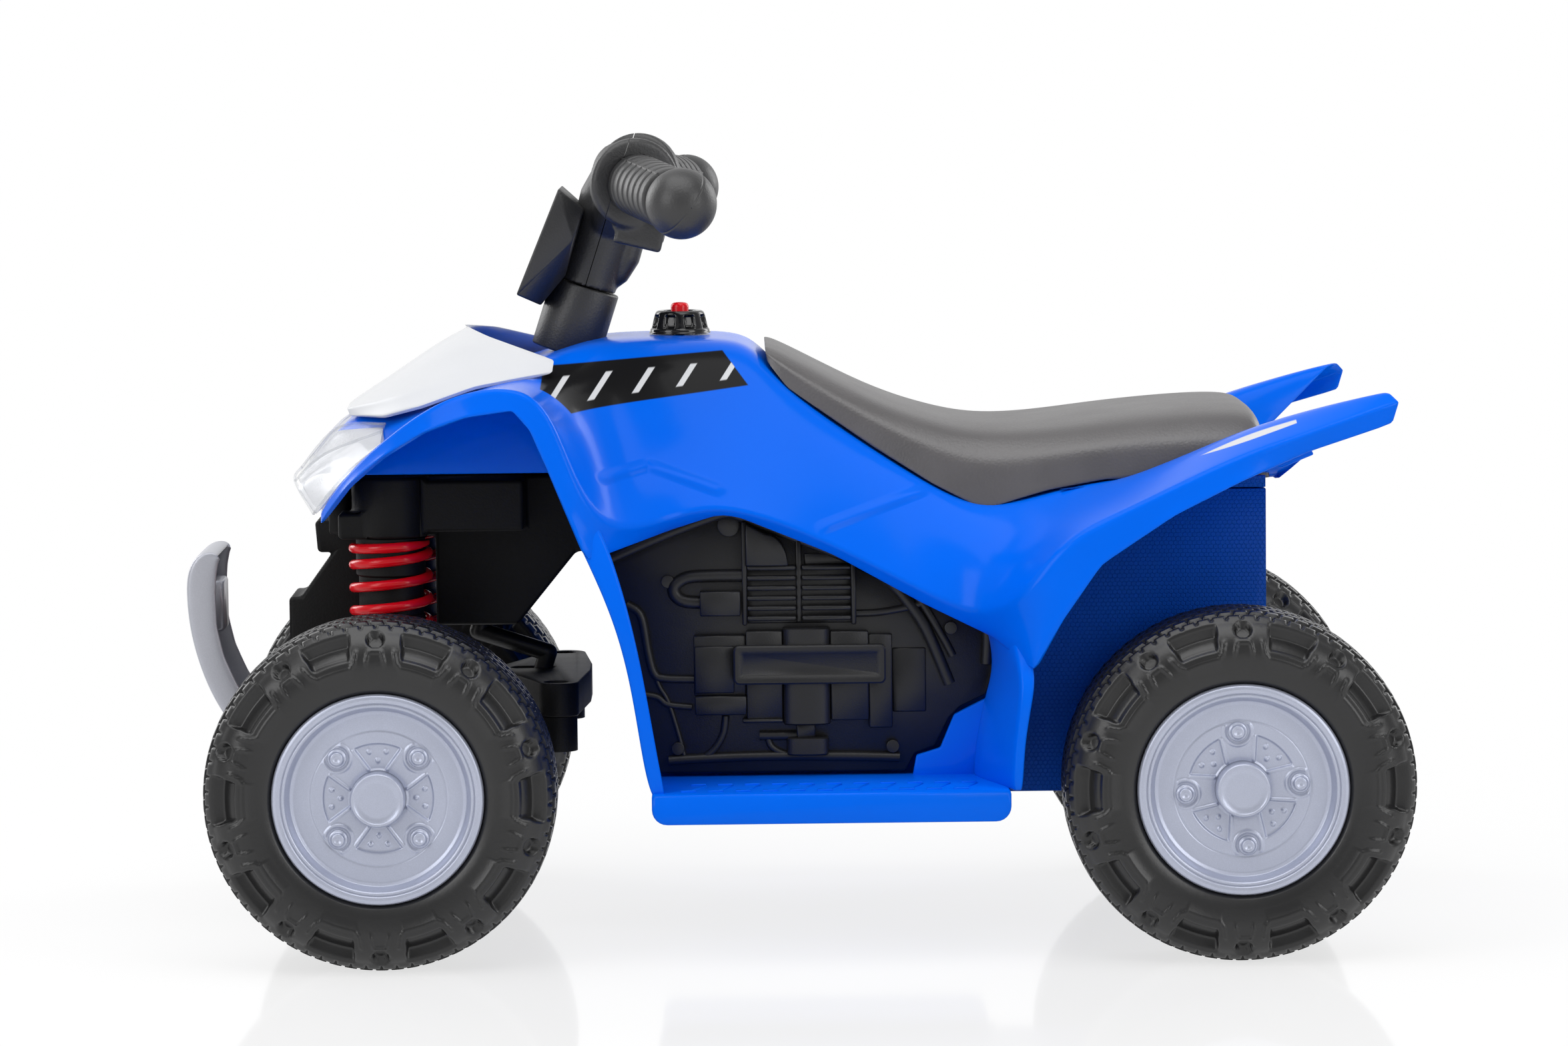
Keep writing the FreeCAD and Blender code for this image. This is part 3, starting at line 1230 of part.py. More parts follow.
def gears():
    """Drive gear with its sleeve, compound gear and motor pinion with its shaft."""
    axle, compound, pinion = gear_places()
    first_y = Vec(0, first_layer_y, 0)
    second_y = Vec(0, second_layer_y, 0)
    hub_end = Vec(0, hub_inner_y - seat_gap, 0)
    drive = involute_gear(drive_teeth, gear_module, gear_width, axle + first_y)
    drive = drive.fuse(rod(drive_sleeve_radius, axle + first_y, axle + hub_end))
    drive = drive.cut(rod(axle_radius + running_gap, axle, axle + hub_end * 2))
    small = involute_gear(small_teeth, gear_module, second_layer_y - first_layer_y, compound + first_y)
    small = meshed(small, compound, small_teeth, axle, drive_teeth)
    large = involute_gear(large_teeth, fast_module, fast_gear_width, compound + second_y)
    pair = small.fuse(large).cut(rod(gear_pin_radius + running_gap, compound, compound + hub_end))
    fast = involute_gear(pinion_teeth, fast_module, fast_gear_width, pinion + second_y)
    fast = meshed(fast, pinion, pinion_teeth, compound, large_teeth)
    shaft_start = pinion + Vec(0, case_inner_y - motor_length / 2, 0)
    shaft = rod(motor_shaft_radius, shaft_start, pinion + second_y + Vec(0, fast_gear_width, 0))
    return drive, pair, fast.fuse(shaft)


def gearbox_case(inner_half):
    """Inner or outer half of the gear case."""
    axle, compound, pinion = gear_places()
    outer_y = tub_rear_half_width - tub_wall - seat_gap
    tips = [gear_module * (drive_teeth / 2 + 1), fast_module * (large_teeth / 2 + 1),
            fast_module * (pinion_teeth / 2 + 1)]
    solids = []
    hollows = []
    for centre, tip in zip((axle, compound, pinion), tips):
        room = tip + tooth_clearance
        solids.append(rod(room + case_wall, centre + Vec(0, case_inner_y, 0), centre + Vec(0, outer_y, 0)))
        hollows.append(rod(room, centre + Vec(0, case_inner_y + case_wall, 0),
                           centre + Vec(0, outer_y - case_wall, 0)))
    case = joined(solids).cut(joined(hollows))
    if inner_half:
        keep = box(0, overall_length, 0, case_split_y - case_split_gap, 0, tank_top_z)
        case = case.common(keep)
        pin = rod(gear_pin_radius, compound + Vec(0, case_inner_y + case_wall / 2, 0),
                  compound + Vec(0, outer_y - case_wall - seat_gap, 0))
        case = case.fuse(pin)
        holes = [rod(axle_radius + running_gap, axle, axle + Vec(0, case_split_y, 0)),
                 rod(motor_shaft_radius + running_gap, pinion, pinion + Vec(0, case_split_y, 0))]
        return case.cut(holes)
    keep = box(0, overall_length, case_split_y, overall_width, 0, tank_top_z)
    sleeve_hole = rod(drive_sleeve_radius + running_gap, axle, axle + Vec(0, overall_width, 0))
    return case.common(keep).cut(sleeve_hole)


def motor():
    """Motor can with a bore for the pinion's shaft."""
    place = gear_places()[2]
    end = place + Vec(0, case_inner_y - seat_gap, 0)
    start = end - Vec(0, motor_length, 0)
    bore = rod(motor_shaft_radius + running_gap, end - Vec(0, motor_length / 2 + overrun, 0),
               end + Vec(0, overrun, 0))
    return rod(motor_radius, start, end).cut(bore)


def rear_axle():
    """Fixed steel axle with a spacer beside the left wheel."""
    bar = rod(axle_radius, Vec(rear_axle_x, -axle_end_y, axle_z), Vec(rear_axle_x, axle_end_y, axle_z))
    spacer = rod(drive_sleeve_radius, Vec(rear_axle_x, seat_gap - hub_inner_y, axle_z),
                 Vec(rear_axle_x, -tub_rear_half_width - seat_gap, axle_z))
    return bar.fuse(spacer)


def battery_x():
    """Front face of the battery."""
    return rear_axle_x - bay_depth - tub_wall - battery_rear_gap - battery_length


def battery():
    """Sealed battery with two terminals."""
    x0 = battery_x()
    low_z = tub_bottom_z + tub_wall + seat_gap
    block = box(x0, x0 + battery_length, -battery_half_width, battery_half_width,
                low_z, low_z + battery_height)
    terminals = []
    for side in (-1, 1):
        y = side * lead_offset
        terminals.append(box(x0 + terminal_size, x0 + 2 * terminal_size,
                             y - terminal_size / 2, y + terminal_size / 2,
                             low_z + battery_height, low_z + battery_height + terminal_size))
    return block.fuse(terminals)


def battery_strap():
    """Band over the battery, down to the tub floor."""
    x0 = battery_x() + (battery_length - strap_width) / 2
    inner_y = battery_half_width + seat_gap
    low_z = tub_bottom_z + tub_wall + seat_gap
    inner_z = low_z + battery_height + seat_gap
    outer_y = inner_y + strap_thickness
    band = box(x0, x0 + strap_width, -outer_y, outer_y, low_z, inner_z + strap_thickness)
    room = box(x0 - overrun, x0 + strap_width + overrun, -inner_y, inner_y, low_z - overrun, inner_z)
    return band.cut(room)


def wiring_loom():
    """Leads from the battery to the drive switch and to the motor."""
    x0 = battery_x()
    top_z = tub_bottom_z + tub_wall + seat_gap + battery_height + terminal_size + seat_gap
    start_x = x0 + terminal_size * 1.5
    switch_x = front_axle_x + fuel_cap_setback
    switch_low = tank_top_z - body_wall - seat_gap - drive_switch_height - seat_gap
    run_z = top_z + lead_rise
    upper = round_lead([Vec(start_x, lead_offset, top_z), Vec(start_x, lead_offset, run_z),
                        Vec(switch_x, lead_offset, run_z), Vec(switch_x, lead_offset, switch_low)],
                       wire_lead_radius, lead_bend)
    motor_place = gear_places()[2]
    lower = round_lead([Vec(x0 + battery_length + seat_gap, motor_lead_y, motor_place.z),
                        Vec(motor_place.x, motor_lead_y, motor_place.z),
                        Vec(motor_place.x, motor_back_y, motor_place.z)],
                       wire_lead_radius, motor_lead_inset / 2)
    return Part.makeCompound([upper, lower])


# Write every node
save("body_shell", body_shell())
save("main_tub", main_tub())
save("front_carrier", front_carrier())
save("front_bumper", front_bumper())
save("front_cowl", skin(cowl_rails(), cowl_wall))
save_pair("headlight_lens", headlight_lens())
left_bowl = headlight_bowl()
save("headlight_bowls", Part.makeCompound([left_bowl, mirrored(left_bowl)]))
save("seat", seat())
save("side_panel_right", side_panel(True))
save("side_panel_left", mirrored(side_panel(False)))
save("panel_screws", panel_screws())
save("direction_switch", direction_switch())
save("charge_socket", charge_socket())
save_pair("footrest", footrest())
wheels()
rear_nut = axle_nut(rear_axle_x)
save("chassis_nuts", Part.makeCompound([rear_nut, mirrored(rear_nut)] + kingpin_nuts()))
save_pair("stub_nut", axle_nut(front_axle_x))
save_pair("kingpin", kingpin())
save_pair("spring", spring())
save_pair("knuckle", knuckle())
save_pair("stub_axle", stub_axle())
save("tie_bar", tie_bar())
save("steering_rod", steering_rod())
save("column_sleeve", column_sleeve())
bar_core = handlebar_core()
save("handlebar_front_half", handlebar_half(bar_core, -1))
save("handlebar_rear_half", handlebar_half(bar_core, 1))
save_pair("grip", grip())
save("visor_pod", visor_pod())
save("fuel_cap", fuel_cap())
save("go_button", go_button())
save("drive_switch", drive_switch())
drive_gear, compound_gear, motor_pinion = gears()
save("drive_gear", drive_gear)
save("compound_gear", compound_gear)
save("motor_pinion", motor_pinion)
save("gearbox_case_inner", gearbox_case(True))
save("gearbox_case_outer", gearbox_case(False))
save("motor", motor())
save("rear_axle", rear_axle())
save("battery", battery())
save("battery_strap", battery_strap())
save("wiring_loom", wiring_loom())
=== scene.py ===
import json
import math

import bmesh
import bpy
from bpy.props import FloatProperty, FloatVectorProperty, IntProperty, PointerProperty
from bpy.types import Operator, Panel, PropertyGroup
from mathutils import Matrix, Quaternion, Vector

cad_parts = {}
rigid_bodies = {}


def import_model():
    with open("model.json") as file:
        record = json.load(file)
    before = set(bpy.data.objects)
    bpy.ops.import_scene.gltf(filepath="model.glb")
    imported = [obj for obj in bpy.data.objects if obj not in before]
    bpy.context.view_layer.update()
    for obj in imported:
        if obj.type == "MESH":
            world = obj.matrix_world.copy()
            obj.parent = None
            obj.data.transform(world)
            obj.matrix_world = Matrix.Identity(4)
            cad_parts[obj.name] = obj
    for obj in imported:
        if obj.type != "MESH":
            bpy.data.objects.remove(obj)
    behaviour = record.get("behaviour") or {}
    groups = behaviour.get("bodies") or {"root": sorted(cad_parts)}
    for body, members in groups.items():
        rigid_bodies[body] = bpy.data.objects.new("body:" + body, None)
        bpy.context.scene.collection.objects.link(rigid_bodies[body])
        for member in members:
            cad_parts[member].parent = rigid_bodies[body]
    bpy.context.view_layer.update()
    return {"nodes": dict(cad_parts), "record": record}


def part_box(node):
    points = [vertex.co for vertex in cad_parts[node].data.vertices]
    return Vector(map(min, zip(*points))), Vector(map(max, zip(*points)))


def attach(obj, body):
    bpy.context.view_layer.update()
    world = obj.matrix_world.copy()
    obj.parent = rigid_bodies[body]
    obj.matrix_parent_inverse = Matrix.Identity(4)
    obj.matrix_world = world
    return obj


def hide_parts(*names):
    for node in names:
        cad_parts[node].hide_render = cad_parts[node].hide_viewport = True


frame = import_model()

bl_info = {
    "name": "Toddler quad bike",
    "version": (1, 0, 0),
    "blender": (4, 5, 0),
    "location": "View3D > Sidebar > Quad bike",
    "description": "Dresses the frame of a toddler quad bike with moulded pieces and finishes",
    "category": "Object",
}

MM = 0.001
SIDES = {"left": -1, "right": 1}
ENDS = ("front", "rear")
HAIR_GAP = 0.22 * MM
WELD_GAP = 0.01 * MM
SHARP_ANGLE = 32.0
ROUND_STEPS = 16
CORNER_STEPS = 6


def middle(node):
    """Centre of a frame node's box."""
    low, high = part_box(node)
    return (low + high) / 2


FRONT_AXLE = middle("front_tyre_left")
REAR_AXLE = middle("rear_tyre_left")
TYRE_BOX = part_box("front_tyre_left")
WHEELBASE = REAR_AXLE.x - FRONT_AXLE.x
TYRE_RADIUS = (TYRE_BOX[1].z - TYRE_BOX[0].z) / 2
TYRE_INSET = 0.05 * MM
TYRE_HALF_WIDTH = (TYRE_BOX[1].y - TYRE_BOX[0].y) / 2
FOOTREST_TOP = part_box("footrest_left")[1].z
BODY_HALF_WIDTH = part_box("body_shell")[1].y


# Settings a user would change
def length(title, note, default):
    """Length setting in metres."""
    return FloatProperty(name=title, description=note, default=default, min=0, unit="LENGTH", precision=4)


def colour(title, note, default):
    """Linear colour setting."""
    return FloatVectorProperty(name=title, description=note, default=default, size=3, min=0, max=1,
                               subtype="COLOR")


class QuadColours(PropertyGroup):
    """Colours of the moulded pieces."""

    shell: colour("Shell", "Glossy shell, tub and footrests", (0.0, 0.13, 0.82))
    cowl: colour("Cowl", "Glossy nose cover and stripes", (0.66, 0.67, 0.69))
    black: colour("Black", "Grained black mouldings", (0.0075, 0.0075, 0.008))
    seat: colour("Seat", "Saddle", (0.055, 0.051, 0.053))
    tyre: colour("Tyre", "Hollow tyres", (0.0068, 0.0068, 0.0074))
    rim: colour("Rim", "Wheel discs", (0.46, 0.49, 0.60))
    bumper: colour("Bumper", "Front hoop", (0.44, 0.45, 0.50))
    red: colour("Red", "Coils and buttons", (0.72, 0.004, 0.012))


class QuadSizes(PropertyGroup):
    """Sizes of the moulded forms."""

    shell_wall: length("Shell wall", "Wall of the shell", 0.003)
    soft_edge: length("Soft edge", "Edge radius of large mouldings", 0.0022)
    fine_edge: length("Fine edge", "Edge radius of small mouldings", 0.0009)
    smoothing: IntProperty(name="Smoothing", description="Subdivision of the large skins", default=3,
                           min=1, max=4)


class WheelSizes(PropertyGroup):
    """Sizes of the tread and the wheel discs."""

    units: IntProperty(name="Tread units", description="Repeats of the shoulder pockets", default=10, min=4)
    pocket_depth: length("Pocket depth", "Depth of the large shoulder pockets", 0.0066)
    dimple_depth: length("Dimple depth", "Depth of the small shoulder pockets", 0.0042)
    ridge_height: length("Ridge height", "Height of the sidewall outlines", 0.0013)
    ridge_width: length("Ridge width", "Width of the sidewall outlines", 0.0014)
    groove_depth: length("Groove depth", "Depth of the crown's block pattern", 0.0021)
    groove_width: length("Groove width", "Width of the crown's grooves", 0.0018)
    blocks: IntProperty(name="Blocks", description="Blocks round the crown", default=70, min=20)
    rim_radius: length("Rim radius", "Outer radius of the disc", 0.0553)
    rim_depth: length("Rim depth", "Depth of the dish", 0.0115)
    bolt_circle: length("Bolt circle", "Radius of the bolt places", 0.0300)


class BarSizes(PropertyGroup):
    """Sizes of the handlebar moulding, grips and pod."""

    height: length("Height", "Bar above the tank, along the column", 0.094)
    head_radius: length("Head radius", "Radius of the head below the bar", 0.0172)
    bar_radius: length("Bar radius", "Radius of the bar beside the head", 0.0145)
    collar_y: length("Collar place", "Distance of a collar from the middle", 0.065)
    collar_sweep: length("Collar sweep", "Collar behind the hub", 0.008)
    collar_fall: length("Collar fall", "Collar below the hub", 0.005)
    collar_radius: length("Collar radius", "Radius of a collar", 0.0245)
    ball_y: length("Ball place", "Distance of a ball end from the middle", 0.150)
    ball_sweep: length("Ball sweep", "Ball end behind the hub", 0.034)
    ball_fall: length("Ball fall", "Ball end below the hub", 0.0135)
    ball_radius: length("Ball radius", "Radius of a ball end", 0.0186)
    grip_radius: length("Grip radius", "Radius of a grip between its ribs", 0.0148)
    rib_height: length("Rib height", "Height of the grip ribs", 0.0016)
    ribs: IntProperty(name="Ribs", description="Ribs on each grip", default=7, min=1)
    voxel: length("Blend grain", "Cell of the blended moulding", 0.0011)


class StageSettings(PropertyGroup):
    """Camera, floor and light."""

    camera_place: FloatVectorProperty(name="Camera place", description="Where the camera stands", size=3,
                                      subtype="TRANSLATION", unit="LENGTH", default=(-0.0249, -3.102, 0.4938))
    yaw: FloatProperty(name="Yaw", description="Camera turn to the rear, in degrees", default=0.44)
    tilt: FloatProperty(name="Tilt", description="Camera tilt downward, in degrees", default=5.08)
    roll: FloatProperty(name="Roll", description="Camera roll, in degrees", default=-0.61)
    lens: FloatProperty(name="Lens", description="Focal length in millimetres", default=130.0)
    floor: colour("Floor", "Floor sheet", (0.9, 0.9, 0.9))
    key_power: FloatProperty(name="Key", description="Power of the large overhead lamp in watts",
                             default=25.0)
    side_power: FloatProperty(name="Sides", description="Power of each front lamp in watts", default=14.0)
    back_power: FloatProperty(name="Back", description="Power of each rear lamp in watts", default=12.0)
    sky: FloatProperty(name="Sky", description="Strength of the even surrounding light", default=0.42)


# Shader maths; the colour mix node has several sockets of one name, so they go by number
MIX_SHARE = 0
MIX_FIRST = 6
MIX_SECOND = 7
MIX_RESULT = 2


class Signal:
    """Output of a shader node; arithmetic on it adds Math nodes."""

    def __init__(self, finish, socket):
        self.finish = finish
        self.socket = socket

    def math(self, operation, first, second=0.0):
        return self.finish.node("ShaderNodeMath", {"operation": operation}, {0: first, 1: second})

    def __add__(self, other):
        return self.math("ADD", self, other)

    def __radd__(self, other):
        return self.math("ADD", other, self)

    def __sub__(self, other):
        return self.math("SUBTRACT", self, other)

    def __rsub__(self, other):
        return self.math("SUBTRACT", other, self)

    def __mul__(self, other):
        return self.math("MULTIPLY", self, other)

    def __rmul__(self, other):
        return self.math("MULTIPLY", other, self)

    def __truediv__(self, other):
        return self.math("DIVIDE", self, other)

    def __abs__(self):
        return self.math("ABSOLUTE", self)

    def fraction(self):
        return self.math("FRACT", self)

    def lower(self, other):
        return self.math("MINIMUM", self, other)

    def higher(self, other):
        return self.math("MAXIMUM", self, other)

    def root(self):
        return self.math("SQRT", self)

    def ramp(self, start, end):
        """0 at start, 1 at end, smooth between."""
        return self.finish.node("ShaderNodeMapRange", {"interpolation_type": "SMOOTHSTEP"},
                                {"Value": self, "From Min": start, "From Max": end})


class Finish:
    """Procedural material under construction."""

    def __init__(self, name):
        self.material = bpy.data.materials.new(name)
        self.material.use_nodes = True
        self.tree = self.material.node_tree
        self.shader = self.tree.nodes["Principled BSDF"]

    def node(self, kind, settings=None, inputs=None, output=0):
        """Add a node, set it up, link or fill its sockets, and return one output."""
        made = self.tree.nodes.new(kind)
        for key, value in (settings or {}).items():
            setattr(made, key, value)
        for key, value in (inputs or {}).items():
            self.feed(made.inputs[key], value)
        return Signal(self, made.outputs[output])

    def feed(self, socket, value):
        """Link a signal to a socket, or set the socket's own value."""
        if isinstance(value, Signal):
            self.tree.links.new(value.socket, socket)
        else:
            socket.default_value = value

    def set(self, **values):
        """Set or link inputs of the main shader, named with underscores for spaces."""
        for key, value in values.items():
            self.feed(self.shader.inputs[key.replace("_", " ")], value)

    def place(self):
        """Object coordinates, which are metres in the shared frame."""
        return self.node("ShaderNodeTexCoord", output="Object")

    def axes(self):
        """Signals of x, y and z in metres."""
        split = self.node("ShaderNodeSeparateXYZ", None, {0: self.place()})
        return [Signal(self, socket) for socket in split.socket.node.outputs]

    def noise(self, size, detail=3.0):
        """Noise of a given grain size in metres, from 0 to 1."""
        return self.node("ShaderNodeTexNoise", None,
                         {"Vector": self.place(), "Scale": 1 / size, "Detail": detail})

    def cells(self, size, feature="F1"):
        """Distance pattern of random cells of a given size in metres."""
        return self.node("ShaderNodeTexVoronoi", {"feature": feature},
                         {"Vector": self.place(), "Scale": 1 / size})

    def tint(self, share, first, second):
        """Mix of two colours."""
        inputs = {MIX_SHARE: share, MIX_FIRST: first, MIX_SECOND: second}
        return self.node("ShaderNodeMix", {"data_type": "RGBA"}, inputs, MIX_RESULT)

    def relief(self, height, depth):
        """Bump from a height between 0 and 1, at a real depth in metres."""
        bump = self.node("ShaderNodeBump", None, {"Height": height, "Distance": depth})
        self.set(Normal=bump)


def shade(rgb, factor):
    """Opaque colour, scaled."""
    return (*[min(1.0, channel * factor) for channel in rgb], 1.0)


def finish_gloss(name, rgb, roughness=0.22, stripes=False, gleam=0.07):
    """Glossy moulded plastic with faint flow marks, fine waviness and handling haze."""
    flow_grain, haze_grain, speck_grain, patch_grain, wave_grain = 0.09, 0.012, 0.0016, 0.02, 0.004
    fold_rise, wave_depth = 0.0012, 0.00006
    made = Finish(name)
    haze = made.noise(haze_grain, 4.0)
    specks = made.cells(speck_grain).ramp(0.10, 0.02) * made.noise(patch_grain).ramp(0.55, 0.75)
    base = made.tint(made.noise(flow_grain, 2.0), shade(rgb, 0.93), shade(rgb, 1.06))
    if stripes:
        base = shell_stripes(made, base)
    made.set(Base_Color=base, Roughness=roughness - 0.05 + haze * 0.08 + specks * 0.12,
             Specular_IOR_Level=gleam, Coat_Weight=0.02, Coat_Roughness=0.06)
    wave = made.noise(wave_grain, 2.0) * 0.6 + haze * 0.4
    if stripes:
        made.relief(wave * (wave_depth / fold_rise) + shell_folds(made), fold_rise)
    else:
        made.relief(wave, wave_depth)
    return made.material


# Printed band on the tank sides and line on the rear fins: places from the middle of the frame
PRINT_EDGE = 0.4 * MM
PRINT_FADE = 2 * MM
BAND_X = -162 * MM
BAND_Z = 282 * MM
BAND_START = 32 * MM
BAND_LENGTH = 142 * MM
BAND_HEIGHT = 26 * MM
BAND_INNER = 52 * MM
BAND_OUTER = 120 * MM
BAR_PITCH = 23.5 * MM
BAR_TOP = 21 * MM
BAR_FOOT = 4 * MM
BAR_EDGE = 1 * MM
FIN_LINE_X = 168 * MM
FIN_LINE_Z = 247.5 * MM
FIN_LINE_LENGTH = 100 * MM
FIN_LINE_HEIGHT = 4.5 * MM
FIN_LINE_INNER = 132 * MM
band_climb_share = 0.12
band_taper_share = 0.05
band_end_share = 0.7
bar_slant_share = 0.75
bar_span_shares = (0.24, 0.42)
bar_edge_share = 0.02
fin_climb_share = 0.335
fin_taper_share = 0.03


def shell_stripes(made, base):
    """Plain slanted bars on the tank sides and a tapering line on each rear fender."""
    x, y, z = made.axes()
    colours = bpy.context.scene.quad_colours
    side = abs(y)
    along = x - BAND_X
    rise = z - BAND_Z - along * band_climb_share
    taper = along * band_taper_share
    band = rise.ramp(-PRINT_EDGE, PRINT_EDGE) * (BAND_HEIGHT - taper - rise).ramp(-PRINT_EDGE, PRINT_EDGE)
    begun = (along - BAND_START).ramp(-PRINT_EDGE, PRINT_EDGE)
    ended = (BAND_LENGTH - along - rise * band_end_share).ramp(-PRINT_EDGE, PRINT_EDGE)
    beside = side.ramp(BAND_INNER, BAND_INNER + PRINT_FADE) * (BAND_OUTER - side).ramp(0.0, PRINT_FADE)
    tank = band * begun * ended * beside
    slant = ((along - rise * bar_slant_share) / BAR_PITCH).fraction()
    start, end = bar_span_shares
    bars = slant.ramp(start, start + bar_edge_share) * (end - slant).ramp(0.0, bar_edge_share)
    bars = bars * (BAR_TOP - taper - rise).ramp(0.0, BAR_EDGE) * rise.ramp(BAR_FOOT, BAR_FOOT + BAR_EDGE)
    dark = made.tint(tank, base, shade(colours.black, 1.4))
    lit = made.tint(tank * bars, dark, shade(colours.cowl, 1.0))
    fin = x - FIN_LINE_X
    fin_rise = z - FIN_LINE_Z - fin * fin_climb_share
    low = fin_rise.ramp(-3 * PRINT_EDGE, -2 * PRINT_EDGE)
    high = (FIN_LINE_HEIGHT - fin * fin_taper_share - fin_rise).ramp(0.0, PRINT_EDGE)
    fin_span = fin.ramp(0.0, PRINT_EDGE) * (FIN_LINE_LENGTH - fin).ramp(0.0, PRINT_EDGE)
    outside = side.ramp(FIN_LINE_INNER, FIN_LINE_INNER + PRINT_FADE)
    return made.tint(low * high * fin_span * outside, lit, shade(colours.cowl, 1.0))


# Fold lines of the flanks: width, and reach from the middle of the body
FOLD_WIDTH = 4.5 * MM
FOLD_INNER = 90 * MM
FOLD_OUTER = 140 * MM
FOLD_FADE = 10 * MM


def shell_folds(made):
    """Raised fold lines on the flanks, as a height from 0 to 1."""
    x, y, z = made.axes()
    height = None
    for start_share, end_share in fold_shares:
        start, end = side_point(start_share, 0), side_point(end_share, 0)
        span = (end - start).length
        way = (end - start) / span
        along = (x - start.x) * way.x + (z - start.z) * way.z
        off = (z - start.z) * way.x - (x - start.x) * way.z
        line = along.ramp(-FOLD_WIDTH, FOLD_WIDTH) * (span - along).ramp(-FOLD_WIDTH, FOLD_WIDTH)
        line = line * (1 - abs(off).ramp(0.0, FOLD_WIDTH))
        height = line if height is None else height.higher(line)
    side = abs(y)
    return height * side.ramp(FOLD_INNER, FOLD_INNER + FOLD_FADE) * (FOLD_OUTER - side).ramp(0.0, FOLD_FADE)


# Honeycomb of the tub's side walls: cell, depth, and where it begins across and along
HONEYCOMB_PITCH = 2.5 * MM
HONEYCOMB_DEPTH = 0.25 * MM
HONEYCOMB_INNER = 103.5 * MM
HONEYCOMB_START = 118 * MM


def finish_honeycomb(name, rgb):
    """Glossy tub plastic with a fine honeycomb relief on its side walls; its colour is the shell blue
    darkened to under half, as painted shade.
    """
    flow_grain, haze_grain = 0.07, 0.01
    made = Finish(name)
    x, y, z = made.axes()
    pitch = HONEYCOMB_PITCH
    row = pitch * math.sqrt(3)
    gaps = []
    for shift in (0.0, 0.5):
        across = ((x / pitch + shift).fraction() - 0.5) * pitch
        up = ((z / row + shift).fraction() - 0.5) * row
        gaps.append((across * across + up * up).root())
    cell = gaps[0].lower(gaps[1]).ramp(pitch * 0.5, pitch * 0.38)
    outside = abs(y).ramp(HONEYCOMB_INNER, HONEYCOMB_INNER + PRINT_EDGE)
    cell = cell * outside * x.ramp(HONEYCOMB_START, HONEYCOMB_START + 2 * PRINT_FADE)
    # Base colour: the shell blue at 0.42 to 0.5 of its strength, with a random flow tone; the darkening is
    # painted shade on the tub under the body
    made.set(Base_Color=made.tint(made.noise(flow_grain, 2.0), shade(rgb, 0.42), shade(rgb, 0.5)),
             Specular_IOR_Level=0.08, Roughness=0.3 + made.noise(haze_grain) * 0.1 + cell * 0.08)
    made.relief(cell, HONEYCOMB_DEPTH)
    return made.material


def finish_grain(name, rgb, roughness=0.5, grain=0.0011, depth=0.00012, gleam=0.3):
    """Black moulding with a fine pebbled grain and rubbed, paler high spots."""
    wear_grain = 0.03
    made = Finish(name)
    pebble = made.cells(grain, "SMOOTH_F1")
    fine = made.noise(grain * 0.6, 2.0)
    wear = made.noise(wear_grain, 4.0)
    made.set(Base_Color=made.tint(wear, shade(rgb, 0.8), shade(rgb, 1.4)), Specular_IOR_Level=gleam,
             Roughness=roughness - 0.08 + wear * 0.16 + pebble * 0.06)
    made.relief(pebble * 0.7 + fine * 0.3, depth)
    return made.material


def finish_tyre(name, rgb):
    """Blow-moulded tyre: satin, with soft blotches and faint scuffs."""
    blotch_grain, scuff_grain, fine_grain, scuff_depth = 0.025, 0.0022, 0.0007, 0.00009
    made = Finish(name)
    blotch = made.noise(blotch_grain, 3.0)
    scuff = made.noise(scuff_grain, 4.0)
    made.set(Base_Color=made.tint(blotch, shade(rgb, 0.6), shade(rgb, 1.2)), Specular_IOR_Level=0.6,
             Roughness=0.27 + blotch * 0.1 + scuff * 0.06)
    made.relief(scuff * 0.7 + made.noise(fine_grain) * 0.3, scuff_depth)
    return made.material


def finish_pearl(name, rgb, metal=0.55, roughness=0.34):
    """Silver pigmented plastic with fine flakes and moulding flow lines."""
    flake_grain, flow_grain, wave_grain, wave_depth = 0.0006, 0.05, 0.0015, 0.00005
    made = Finish(name)
    flakes = made.cells(flake_grain)
    flow = made.noise(flow_grain, 3.0)
    made.set(Base_Color=made.tint(flow * 0.6 + flakes * 0.4, shade(rgb, 0.86), shade(rgb, 1.14)),
             Metallic=metal, Roughness=roughness - 0.04 + flow * 0.1 + flakes * 0.04,
             Coat_Weight=0.15, Coat_Roughness=0.12)
    made.relief(made.noise(wave_grain, 2.0), wave_depth)
    return made.material


def finish_lens(name):
    """Clear moulded plastic with a slight waviness."""
    wave_grain, wave_depth = 0.02, 0.0002
    made = Finish(name)
    wave = made.noise(wave_grain, 2.0)
    made.set(Base_Color=(0.52, 0.54, 0.58, 1.0), Roughness=0.05 + wave * 0.06, Alpha=0.2 + wave * 0.06,
             Specular_IOR_Level=0.6)
    made.relief(wave, wave_depth)
    return made.material


def finish_metal(name, rgb, roughness=0.3):
    """Plated steel with fine drawing lines and dull spots."""
    spot_grain, line_grain, line_depth = 0.006, 0.0009, 0.00004
    made = Finish(name)
    spots = made.noise(spot_grain, 4.0)
    made.set(Base_Color=made.tint(spots, shade(rgb, 0.8), shade(rgb, 1.1)), Metallic=1.0,
             Roughness=roughness + spots * 0.18)
    made.relief(made.noise(line_grain, 1.0), line_depth)
    return made.material


